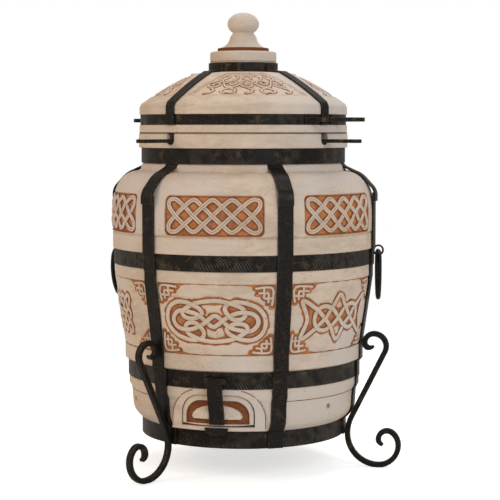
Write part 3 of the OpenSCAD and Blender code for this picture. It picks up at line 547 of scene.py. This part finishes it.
def normals_of(line):
    """The direction across a line at each of its points."""
    closed = np.allclose(line[0], line[-1])
    before = np.roll(line[:-1], 1, axis=0) if closed else line[[0, *range(len(line) - 2)]]
    before = np.concatenate([before, before[:1] if closed else line[-2:-1]])
    after = np.roll(line[:-1], -1, axis=0) if closed else line[1:]
    after = np.concatenate([after, after[:1] if closed else line[-1:]])
    ahead = after - before
    ahead /= np.linalg.norm(ahead, axis=1)[:, None]
    return np.stack([ahead[:, 1], -ahead[:, 0]], axis=1)


# Cross sections of the strands as [across, height, stain], from the sunk left foot to the right one
def round_section(width, height, groove):
    half = width / 2
    ridge = [
        (-1.0, -0.9, 1.0), (-1.0, 0.15, 0.9), (-0.86, 0.72, 0.15), (-0.55, 1.0, 0.0), (-0.22, 0.9, 0.0),
        (0.0, 0.9 - groove, 0.8), (0.22, 0.9, 0.0), (0.55, 1.0, 0.0), (0.86, 0.72, 0.15),
        (1.0, 0.15, 0.9), (1.0, -0.9, 1.0)]
    return [(x * half, y * height, s) for x, y, s in ridge]


def strand_rows(line, lift, section, base):
    """Points [x, y, height] and stain of a strand, with one row for each point of its section."""
    across = normals_of(line)
    rows, stains = [], []
    for x, height, stain in section + [section[0]]:
        rows.append(np.column_stack([line + across * x, base + height + lift]))
        stains.append(np.full(len(line), stain))
    return np.array(rows), np.array(stains)


def distance_to(lines, x, y):
    """How far each point is from the nearest line."""
    points = np.concatenate(lines)
    best = np.full(x.shape, 1.0)
    for p in points:
        best = np.minimum(best, (x - p[0]) ** 2 + (y - p[1]) ** 2)
    return np.sqrt(best)


def inside(line, x, y):
    """True at each point that a closed line winds round."""
    turns = np.zeros(x.shape)
    for a, b in zip(line[:-1], line[1:]):
        side = (b[0] - a[0]) * (y - a[1]) - (x - a[0]) * (b[1] - a[1])
        turns += ((a[1] <= y) & (b[1] > y) & (side > 0)) * 1.0
        turns -= ((a[1] > y) & (b[1] <= y) & (side < 0)) * 1.0
    return abs(turns) > 0.5


def step_up(value, low, high):
    """0 below low and 1 above high, with a smooth step between."""
    t = np.clip((value - low) / (high - low), 0, 1)
    return t * t * (3 - 2 * t)


class Wall:
    """A round wall given by its outline [radius, height] from the bottom up, unrolled to x and y."""

    def __init__(self, outline):
        outline = np.array(outline, float)
        reach = np.concatenate([[0], np.cumsum(np.linalg.norm(np.diff(outline, axis=0), axis=1))])
        self.height = reach[-1]
        self.at = np.linspace(0, self.height, 400)
        self.r = np.interp(self.at, reach, outline[:, 0])
        self.z = np.interp(self.at, reach, outline[:, 1])
        slope_r, slope_z = np.gradient(self.r, self.at), np.gradient(self.z, self.at)
        smooth = np.ones(9) / 9
        slope_r = np.convolve(np.pad(slope_r, 4, "edge"), smooth, "valid")
        slope_z = np.convolve(np.pad(slope_z, 4, "edge"), smooth, "valid")
        size = np.hypot(slope_r, slope_z)
        self.out_r, self.out_z = slope_z / size, -slope_r / size

    def y_at(self, z):
        return float(np.interp(z, self.z, self.at))

    def place(self, flat, reference, turn=0.0):
        """Flat [x, y, height] to the wall, where x is the arc length at the reference radius."""
        x, y, h = flat[..., 0], flat[..., 1], flat[..., 2]
        angle = x / reference + turn
        r = np.interp(y, self.at, self.r) + h * np.interp(y, self.at, self.out_r)
        z = np.interp(y, self.at, self.z) + h * np.interp(y, self.at, self.out_z)
        return np.stack([r * np.sin(angle), -r * np.cos(angle), z], axis=-1)


def superellipse(side, top, power):
    """A full round corner from a point on the side to a point on the top."""
    return [(top[0] + (side[0] - top[0]) * max(math.cos(t), 0) ** (2 / power),
             side[1] + (top[1] - side[1]) * math.sin(t) ** (2 / power))
            for t in np.linspace(0, math.pi / 2, 40)]


def joined(pieces):
    bpy.ops.object.select_all(action="DESELECT")
    for piece in pieces:
        piece.select_set(True)
    bpy.context.view_layer.objects.active = pieces[0]
    bpy.ops.object.join()
    return bpy.context.object


def pressed_tile(x, y, height, stain, crease_shade, wall, reference, turn=0.0):
    """The ground of a field as a thin closed plate on its wall."""
    flat = np.stack([x, y, height], axis=-1)
    piece = grid_of(wall.place(flat, reference, turn), [("stain", stain), ("crease_shade", crease_shade)])
    backing = piece.modifiers.new("backing", "SOLIDIFY")
    backing.thickness = 0.0012
    backing.offset = -1
    bpy.ops.object.modifier_apply(modifier=backing.name)
    return piece


def strand_piece(line, lift, section, base, wall, reference, turn=0.0):
    """A strand that follows a line on its wall, with painted shade along its two feet."""
    rows, stains = strand_rows(line, lift, section, base)
    return closed_up(grid_of(wall.place(rows, reference, turn),
                             [("stain", stains), ("crease_shade", stains > 0.85)]))


def turned_copies(piece, name, turns):
    """Copies of a finished piece, each with its own mesh, turned about the vessel's axis."""
    for order, turn in enumerate(turns):
        bpy.ops.object.select_all(action="DESELECT")
        piece.select_set(True)
        bpy.context.view_layer.objects.active = piece
        bpy.ops.object.duplicate()
        copy = bpy.context.object
        bpy.ops.object.mode_set(mode="EDIT")
        bpy.ops.mesh.select_all(action="SELECT")
        bpy.ops.transform.rotate(value=math.radians(-turn), orient_axis="Z", center_override=(0, 0, 0))
        bpy.ops.object.mode_set(mode="OBJECT")
        copy.name = copy.data.name = f"{name}_{order + 1}"


def plait(columns, rows, width, height):
    """Lines of a plait that bounces off the sides of its frame, as closed lists of points. On its grid
    they turn back at pull from a side, and at corner from the sides of a corner."""
    pull, corner = 0.22, 0.30
    wide, tall = 2 * columns, 2 * rows
    left = {(i, j) for i in range(wide + 1) for j in range(tall + 1)
            if (i + j) % 2 == 1 and (i in (0, wide) or j in (0, tall))}
    lines = []
    while left:
        start = min(left, key=lambda q: (q[1], q[0]))
        at, step, points = start, (1, 1), []
        while not points or at != start:
            left.discard(at)
            i, j = at
            points.append((min(max(i, pull), wide - pull), min(max(j, pull), tall - pull)))
            if points[1:]:
                step = (-step[0] if i in (0, wide) else step[0],
                        -step[1] if j in (0, tall) else step[1])
            while True:
                at = (at[0] + step[0], at[1] + step[1])
                if at[0] in (0, wide) or at[1] in (0, tall):
                    break
                points.append(at)
            if (at[0] in (0, wide)) != (i in (0, wide)) and max(abs(at[0] - i), abs(at[1] - j)) == 1:
                points.append((corner if at[0] + i < wide else wide - corner,
                               corner if at[1] + j < tall else tall - corner))
        lines.append([((i / wide - 0.5) * width, (j / tall - 0.5) * height) for i, j in points])
    return lines


# Upper fields: one skin for each sixth of the shoulder, with a plaited strand in a sunk panel
belly_skin_r, belly_skin_low_z, belly_skin_z = 0.3003, 0.5425, 0.575
neck_skin_r, neck_skin_z, neck_skin_high_z = 0.2353, 0.676, 0.6785
shoulder = Wall([(belly_skin_r, belly_skin_low_z), (belly_skin_r, belly_skin_z)]
                + superellipse((belly_skin_r, belly_skin_z), (neck_skin_r, neck_skin_z), 2.4)[1:]
                + [(neck_skin_r, neck_skin_high_z)])
upper_reference = 0.3
panel_wide, panel_low, panel_tall = 0.2225, 0.001, 0.086
plait_wide, plait_tall = 0.2135, 0.0775
sunk = 0.0038
strand_w, strand_h, strand_groove, strand_rise = 0.0102, 0.0044, 0.5, 0.0012

x, y = np.meshgrid(np.linspace(-0.5, 0.5, 196) * math.radians(60) * upper_reference,
                   np.linspace(0, shoulder.height, 128))
side_gap = abs(x) - panel_wide / 2
level_gap = np.maximum(panel_low - y, y - panel_low - panel_tall)
round_off = 0.012
edge_gap = (np.hypot(np.maximum(side_gap + round_off, 0), np.maximum(level_gap + round_off, 0))
            + np.minimum(np.maximum(side_gap, level_gap) + round_off, 0) - round_off)
in_panel = 1 - step_up(edge_gap, -0.0016, 0.0006)
lines = [drawn_line(points, True) for points in plait(5, 2, plait_wide, plait_tall)]
lines = [line + np.array([0, panel_low + panel_tall / 2]) for line in lines]
ground_lift = 0.0004 * np.sin(x * 310 + 3 * np.sin(y * 170)) * np.sin(y * 260)
near = distance_to(lines, x, y) - strand_w / 2
# The crease values paint shade: the sunk ground darkens next to the strands and along the panel's edge.
tile = pressed_tile(x, y, -sunk * in_panel + ground_lift * in_panel,
                    1 - step_up(edge_gap, -0.001, 0.0032),
                    in_panel * (1 - step_up(np.minimum(near, -edge_gap), 0.0002, 0.0042)),
                    shoulder, upper_reference)
strand = round_section(strand_w, strand_h, strand_groove)
parts = [tile]
for line, lift in zip(lines, over_and_under(lines, strand_rise)):
    parts.append(strand_piece(line, lift, strand, -sunk, shoulder, upper_reference))
joined(parts)
first = as_clay_piece("shoulder_field_front", "oven")
turned_copies(first, "shoulder_field", [60, 120, 180, 240, 300])


# Lower fields
# Below the belly hoop each field is a pressed clay panel. A knot of flat strands stands in the middle
# and a small fret in each corner, on ground that is sunk and wiped down to the orange clay.
mm = 0.001
lower_wall = Wall([(0.2720, 0.2852), (0.2839, 0.3630), (0.2943, 0.4408)])
lower_reference = 0.2833
knot_y = lower_wall.y_at(0.3605)
lower_ground = -0.0022
lower_half_angle = 26.4
flat_strand_w, flat_strand_h, flat_strand_rise, flat_strand_reach = 0.0105, 0.0029, 0.0011, 0.008
fret_w, fret_h = 0.0056, 0.0026
fret_inset = 0.0045


def flat_section(width, height):
    half = width / 2
    ridge = [
        (-1.0, -0.7, 1.0), (-1.0, 0.25, 0.9), (-0.84, 0.80, 0.2), (-0.5, 1.0, 0.0), (0.0, 1.04, 0.0),
        (0.5, 1.0, 0.0), (0.84, 0.80, 0.2), (1.0, 0.25, 0.9), (1.0, -0.7, 1.0)]
    return [(x * half, y * height, s) for x, y, s in ridge]


def with_opposite(points):
    """A knot that looks the same when it is turned half round."""
    return points + [(-a, -b) for a, b in points]


twin_knot = [
    with_opposite([(0, -45), (-28, -42), (-49, -35), (-61, -29), (-68, -17), (-60, -6), (-42, -5),
                   (-30, -15), (-24, -27), (-30, -38), (-48, -43), (-70, -40), (-92, -31),
                   (-107, -14), (-111, 7), (-103, 28), (-84, 40), (-62, 40), (-45, 34), (-30, 25),
                   (-28, 14), (-46, 5), (-66, 7), (-72, 18), (-60, 29), (-36, 40)]),
    with_opposite([(-6, -11), (-32, 11), (-50, 18), (-78, 21), (-93, 9), (-94, -6), (-80, -18),
                   (-52, -19), (-24, -6), (-8, 7)]),
]
star_knot = [
    [(-104, 42), (-70, 24), (-44, 2), (-22, -22), (0, -50), (22, -22), (44, 2), (70, 24), (104, 42),
     (90, 0), (104, -42), (70, -24), (44, -2), (22, 22), (0, 50), (-22, 22), (-44, -2), (-70, -24),
     (-104, -42), (-90, 0)],
    [(44 * math.sin(t) + 27 * math.sin(t) * abs(math.sin(t)), 27 * math.sin(2 * t))
     for t in np.arange(16) * math.pi / 8],
]
square_knot = plait(4, 3, 112, 88)
corner_fret = [
    [(3, -40), (3, -4), (44, -4)],
    [(12, -34), (12, -14), (22, -14), (22, -1)],
    [(0, -24), (22, -24), (22, -14), (36, -14)],
]


def lower_field(name, knot, bosses, turns):
    """One panel with its knot and frets, then its copy on the far side. A boss is an oval of engobe
    that is left inside the knot: how far over its middle, half its width and half its height, in mm."""
    turn = math.radians(turns[0])
    lines = [drawn_line(np.array(points) * mm, True) + [0, knot_y] for points in knot]
    edge_x = math.radians(lower_half_angle) * lower_reference
    frets = []
    for side in (-1, 1):
        for low in (False, True):
            for points in corner_fret:
                bar = np.array(points) * mm * ([0.88, 1.05] if low == (side > 0) else [1.0, 0.92])
                bar[:, 0] = side * (bar[:, 0] - edge_x + fret_inset)
                bar[:, 1] = fret_inset - bar[:, 1] if low else lower_wall.height - fret_inset + bar[:, 1]
                frets.append(drawn_line(bar, False, 0.0016))
    x, y = np.meshgrid(np.linspace(-edge_x, edge_x, 170), np.linspace(0, lower_wall.height, 102))
    near = distance_to(lines, x, y) - flat_strand_w / 2
    near_fret = distance_to(frets, x, y) - fret_w / 2
    within = np.zeros(x.shape)
    for line in lines:
        within = np.maximum(within, inside(line, x, y))
    for up, wide, tall in bosses:
        within *= step_up(np.hypot(x / (wide * mm), (y - knot_y - up * mm) / (tall * mm)), 0.9, 1.05)
    ragged = 0.0011 * np.sin(x * 190 + 2 * np.sin(y * 210)) + 0.0009 * np.sin(y * 330 + x * 120)
    around = 1 - step_up(near + ragged, 0.0012, 0.0068)
    at_fret = 1 - step_up(near_fret + ragged, 0.0022, 0.0082)
    edge = np.minimum(y, lower_wall.height - y)
    seam_w = 0.0022 + 0.0052 * step_up(abs(x), 0.045, 0.085)
    seam = 1 - step_up(edge + ragged * 0.6, seam_w * 0.5, seam_w)
    wiped_here = np.maximum(np.maximum(within, around), at_fret)
    rough = 0.00025 * np.sin(x * 300 + 3 * np.sin(y * 150)) * np.sin(y * 240 + 2 * np.sin(x * 90))
    height = -0.0002 + (lower_ground + 0.0002) * wiped_here + rough * (0.4 + wiped_here) - 0.0014 * seam
    # Painted shade: the ground darkens beside the strands and frets, and most inside the knot.
    crease_shade = 1 - step_up(np.minimum(near, near_fret), 0.0004, 0.0044)
    parts = [pressed_tile(x, y, np.maximum(height, lower_ground - 0.0001),
                          np.maximum(wiped_here, seam * 0.9), crease_shade * (0.5 + 0.5 * within),
                          lower_wall, lower_reference, turn)]
    for line, lift in zip(lines, over_and_under(lines, flat_strand_rise, flat_strand_reach)):
        parts.append(strand_piece(line, lift, flat_section(flat_strand_w, flat_strand_h), lower_ground,
                                  lower_wall, lower_reference, turn))
    for bar in frets:
        parts.append(strand_piece(bar, np.zeros(len(bar)), flat_section(fret_w, fret_h), lower_ground,
                                  lower_wall, lower_reference, turn))
    joined(parts)
    first = as_clay_piece(name, "oven")
    turned_copies(first, name, [other - turns[0] for other in turns[1:]])


lower_field("twin_knot_field", twin_knot, [(28, 29, 21), (-28, 29, 21)], [0, 180])
lower_field("star_knot_field", star_knot, [(36, 17, 15), (-36, 17, 15)], [60, 240])
lower_field("square_knot_field", square_knot, [], [-60, 120])


# Vent surround
# The raised clay arch round the vent has its outline wiped down to the orange clay in a thin line.
flare_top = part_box("base_hoop")[1][2]
hoop_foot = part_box("lower_hoop")[0][2]
band_foot = hoop_foot - 0.018
surround_r, band_r, crease_r = 0.2611, 0.2631, 0.2570
surround_wall = Wall([(surround_r, flare_top), (surround_r, band_foot - 0.0025),
                      (band_r, band_foot + 0.0005), (band_r, hoop_foot)])
surround_half, surround_corner, corner_sweep, under_hoop = 0.1035, 0.064, 1.35, 0.0015
line_section = [(-0.0011, -0.0004, 1.0), (-0.0008, 0.0003, 1.0),
                (0.0008, 0.0003, 1.0), (0.0011, -0.0004, 1.0)]
parts = []
for side in (-1, 1):
    outline = [(surround_half, flare_top + 0.010), (surround_half, flare_top + 0.035)]
    outline += [(surround_half - surround_corner * (1 - math.cos(t)),
                 hoop_foot - under_hoop - surround_corner * (1 - math.sin(t)))
                for t in np.linspace(0, corner_sweep, 9)]
    outline = [(side * surround_r * math.asin(a / surround_r), surround_wall.y_at(z))
               for a, z in outline]
    line = drawn_line(outline, False)
    parts.append(strand_piece(line, np.zeros(len(line)), line_section, 0.0, surround_wall, surround_r))
# The rest of the ring swells out to the band under the hoop, and the line runs on along that swelling
crease_z = band_foot - 0.0120
band_wall = Wall([(0.2560, crease_z - 0.0150), (crease_r, crease_z), (0.2630, band_foot)])
crease_y = band_wall.y_at(crease_z + 0.0004)
clear = crease_r * math.radians(30)
round_back = drawn_line([(clear, crease_y), (2 * math.pi * crease_r - clear, crease_y)], False, 0.006)
parts.append(strand_piece(round_back, np.zeros(len(round_back)), line_section, 0.0001,
                          band_wall, crease_r))
joined(parts)
as_clay_piece("surround_outline", "oven")


# Gap shade line
# A thin black line of painted shade runs round the lid's lower edge, where it meets the rim.
lid_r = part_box("lid_shell")[1][0]
edge_wall = Wall([(lid_r, mouth_z - 0.0005), (lid_r, mouth_z + 0.0030)])
gap_shade_y = 0.0013
ring = drawn_line([(0, gap_shade_y), (2 * math.pi * lid_r, gap_shade_y)], False, 0.006)
gap_shade = strand_piece(ring, np.zeros(len(ring)), line_section, 0.0, edge_wall, lid_r)
# Painted shade: the line is painted black
paint(gap_shade, "soot_and_shade", lambda r, z: 0.85 + 0 * r)
as_clay_piece("gap_shade_line", "lid")


# Lid fields
# Four fields sunk in the lid's cone widen from the collar to the drum. Each holds a scroll of vines in
# low cream strands, with only their outlines and the border wiped down to the orange clay.
def bowed_outline(low, high, bow):
    """A line from low to high that swells outwards by bow at its middle."""
    t = np.linspace(0, 1, 7)[:, None]
    low, high = np.array(low), np.array(high)
    along = high - low
    out = np.array([along[1], -along[0]]) / np.linalg.norm(along)
    return low + along * t + out * bow * 4 * t * (1 - t)


def spiral(across, up, reach, start, sweep):
    """A tendril that curls in from reach to a fifth of it."""
    return [(across + reach * (1 - 0.8 * t) * math.cos(start + sweep * t),
             up + reach * (1 - 0.8 * t) * math.sin(start + sweep * t)) for t in np.linspace(0, 1, 15)]


lid_wall = Wall(bowed_outline((0.2110, 0.8410), (0.1220, 0.8920), 0.003))
lid_reference = 0.1665
lid_middle = lid_wall.height / 2
lid_ground = -0.0019
drawn_half, plate_edge = 0.092, 0.0006
# Half the width and the radius at the upper and the lower corner of a field
corners = np.array([[half, math.sqrt(r * r - half * half)]
                    for half, r in [(0.044, 0.122), (0.132, 0.211)]])
side_line = corners[0] + (corners[1] - corners[0]) * np.linspace(-0.1, 1.1, 60)[:, None]


def lid_half(y):
    """Half the width of a field at the height y on the lid's wall."""
    r = np.interp(y, lid_wall.at, lid_wall.r)
    return np.interp(r, np.hypot(*side_line.T), np.arctan2(*side_line.T)) * lid_reference


def spread(points, step):
    """A line drawn in mm in a field 184 wide and 100 high, spread to the field's own sides."""
    line = drawn_line(np.array(points) * mm, False, step) + [0, lid_middle]
    return np.column_stack([line[:, 0] / drawn_half * lid_half(line[:, 1]), line[:, 1]])


vine_w, vine_h, vine_rise, vine_reach = 0.0050, 0.0019, 0.0005, 0.004
border_w = 0.0014
half_wave, bulge = 33, 18
vine = [[(x, bulge * math.cos(math.pi * x / half_wave)) for x in range(-80, 81, 4)]]
for order in range(-2, 3):
    middle = half_wave * order
    way = 1 if order % 2 == 0 else -1
    vine.append(spiral(middle, -3 * way, 13.5, math.pi, way * 2.5 * math.pi))
    for side in (-1, 1):
        vine.append([(middle + side * 2, way * 20), (middle + side * 10, way * 25),
                     (middle + side * 11, way * 34), (middle + side * 3, way * 39)])
    vine.append([(middle - 1, way * -18), (middle + 7, way * -26),
                 (middle + 4, way * -36), (middle - 4, way * -39)])
border_x, border_y = 87.5, 46
border = [[(-border_x, -border_y), (border_x, -border_y)],
          [(-border_x, border_y), (border_x, border_y)],
          [(-border_x, -border_y), (-border_x, border_y)],
          [(border_x, -border_y), (border_x, border_y)]]
lines = [spread(points, 0.0017) for points in vine]
bars = [spread(points, 0.004) for points in border]
u, y = np.meshgrid(np.linspace(-1, 1, 190), np.linspace(plate_edge, lid_wall.height - plate_edge, 96))
x = u * (lid_half(y) - plate_edge)
near = distance_to(lines, x, y) - vine_w / 2
near_bar = distance_to(bars, x, y) - border_w / 2
ragged = 0.0007 * np.sin(x * 330 + 2 * np.sin(y * 410)) + 0.0006 * np.sin(y * 530 + x * 220)
wiped_here = np.maximum(1 - step_up(near + ragged, 0.0003, 0.0030),
                        1 - step_up(near_bar + ragged / 2, 0.0002, 0.0013))
rough = 0.0002 * np.sin(x * 400 + 3 * np.sin(y * 260)) * np.sin(y * 350)
level = lid_ground + 0.0009 * (1 - wiped_here) + rough
turn = math.radians(16)
# The wiped outlines beside the vines and border are darkened too, as painted shade.
parts = [pressed_tile(x, y, level, wiped_here, 0.6 * wiped_here, lid_wall, lid_reference, turn)]
for line, lift in zip(lines, over_and_under(lines, vine_rise, vine_reach)):
    parts.append(strand_piece(line, lift, flat_section(vine_w, vine_h), lid_ground,
                              lid_wall, lid_reference, turn))
joined(parts)
first = as_clay_piece("lid_field_front", "lid")
turned_copies(first, "lid_field", [90, 180, 270])


# Ironwork
# Hoops, straps, legs and handles are mild steel bar, forged hot, brushed, blackened and waxed, and
# rubbed brown on the edges and high spots.
black = (0.0065, 0.0056, 0.0052, 1)
soft_black = (0.017, 0.0135, 0.011, 1)
bronze = (0.23, 0.145, 0.068, 1)
filed = (0.13, 0.108, 0.085, 1)

forging, source, result = effect("forged_skin", [("Wear", 0.5)], ["Wear", "Scale", "Height"])
dents = noise(forging, 75, 2)
scale_marks = noise(forging, 260, 4, roughness=0.65)
rubbed = ramp(forging, calc(forging, "MULTIPLY_ADD", noise(forging, 34, 4, roughness=0.65), 0.7,
                            calc(forging, "MULTIPLY", scale_marks, 0.3)), 0.52, 0.66)
forging.links.new(calc(forging, "MULTIPLY", rubbed, source.outputs["Wear"]), result.inputs["Wear"])
forging.links.new(scale_marks, result.inputs["Scale"])
forging.links.new(calc(forging, "MULTIPLY_ADD", scale_marks, 0.25, dents), result.inputs["Height"])


def iron_material(name, wear, roughness=0.30, strokes=None, edges=0.7):
    """Waxed black iron. Wear bares the high spots, edges bare the arrises, and strokes, where given,
    is the group that cuts chisel marks into it."""
    material, tree = new_material(name)
    skin = placed(tree, forging, Wear=wear)
    tone = colour_mix(tree, ramp(tree, skin.outputs["Scale"], 0.4, 0.6), black, soft_black)
    edge = calc(tree, "MULTIPLY", placed(tree, edge_wear, Radius=0.0028).outputs["Edge"], edges)
    bared = calc(tree, "MAXIMUM", calc(tree, "MULTIPLY", skin.outputs["Wear"], 0.55), edge)
    height = skin.outputs["Height"]
    tone = colour_mix(tree, bared, tone, bronze)
    if strokes:
        cut = placed(tree, strokes).outputs
        height = calc(tree, "ADD", height, cut["Height"])
        tone = colour_mix(tree, calc(tree, "MULTIPLY", cut["Ridge"], 0.8), tone, filed)
    bump = add_node(tree, "Bump", {"Height": height, "Strength": 0.6, "Distance": 0.0015})
    shader = add_node(tree, "BsdfPrincipled", {
        "Base Color": tone, "Metallic": calc(tree, "MULTIPLY", bared, 0.75), "Normal": bump.outputs[0],
        "Roughness": calc(tree, "MULTIPLY_ADD", skin.outputs["Scale"], 0.22, roughness)})
    shader.inputs["Specular IOR Level"].default_value = 0.16
    add_node(tree, "OutputMaterial", {"Surface": shader.outputs[0]})
    return material


# Chisel strokes struck across a hoop in patches, leaning from upper left to lower right
strokes, source, result = effect("chisel_strokes", [("Pitch", 0.0060)], ["Height", "Ridge"])
hoop_r, stroke_lean, stroke_sway, cut_depth = 0.26, 0.75, 0.0016, -1.6
where = add_node(strokes, "SeparateXYZ", {
    0: add_node(strokes, "TexCoord").outputs["Object"]}).outputs
turn = calc(strokes, "ARCTAN2", where["X"], calc(strokes, "MULTIPLY", where["Y"], -1.0))
along = calc(strokes, "MULTIPLY", turn, hoop_r)
bow = calc(strokes, "SINE", calc(strokes, "MULTIPLY", where["Z"], 190))
sway = calc(strokes, "MULTIPLY", bow, stroke_sway)
across = calc(strokes, "MULTIPLY_ADD", where["Z"], stroke_lean, calc(strokes, "ADD", along, sway))
wave = calc(strokes, "SINE", calc(strokes, "MULTIPLY", calc(
    strokes, "DIVIDE", across, source.outputs["Pitch"]), 2 * math.pi))
patch = ramp(strokes, noise(strokes, 7, 1, (1, 1, 0.4)), 0.46, 0.54)
cut = calc(strokes, "MULTIPLY", ramp(strokes, wave, 0.1, 0.9), cut_depth)
ridge = calc(strokes, "MULTIPLY", calc(strokes, "SUBTRACT", 1.0, ramp(strokes, wave, -0.95, -0.3)),
             ramp(strokes, noise(strokes, 60, 2), 0.35, 0.6))
strokes.links.new(calc(strokes, "MULTIPLY", cut, patch), result.inputs["Height"])
strokes.links.new(calc(strokes, "MULTIPLY", ridge, patch), result.inputs["Ridge"])

forged = iron_material("forged_iron", wear=0.30)
struck = iron_material("struck_iron", wear=0.60, roughness=0.32, strokes=strokes)
handled = iron_material("handled_iron", wear=1.25)
cast = iron_material("cast_grate", wear=0.12, roughness=0.6, edges=0.3)

for node in frame["nodes"]:
    if node.endswith("hoop"):
        eased(node, struck, 0.0008)
    elif node.startswith("shoulder_strap"):
        eased(node, forged, 0.0009, angle=50, bend=0.012)
    elif "strap" in node or node in ("vent_rest", "vent_lugs"):
        eased(node, forged, 0.0009)
    elif "leg" in node or "ring" in node:
        eased(node, forged, 0.0012)
    elif node.startswith("lid_handle") or node == "skewer_rack":
        eased(node, handled, 0.0010)
    elif node == "grate":
        eased(node, cast, 0.0010)
    elif slot_of[node] == "forged_iron":
        dress(node, forged)
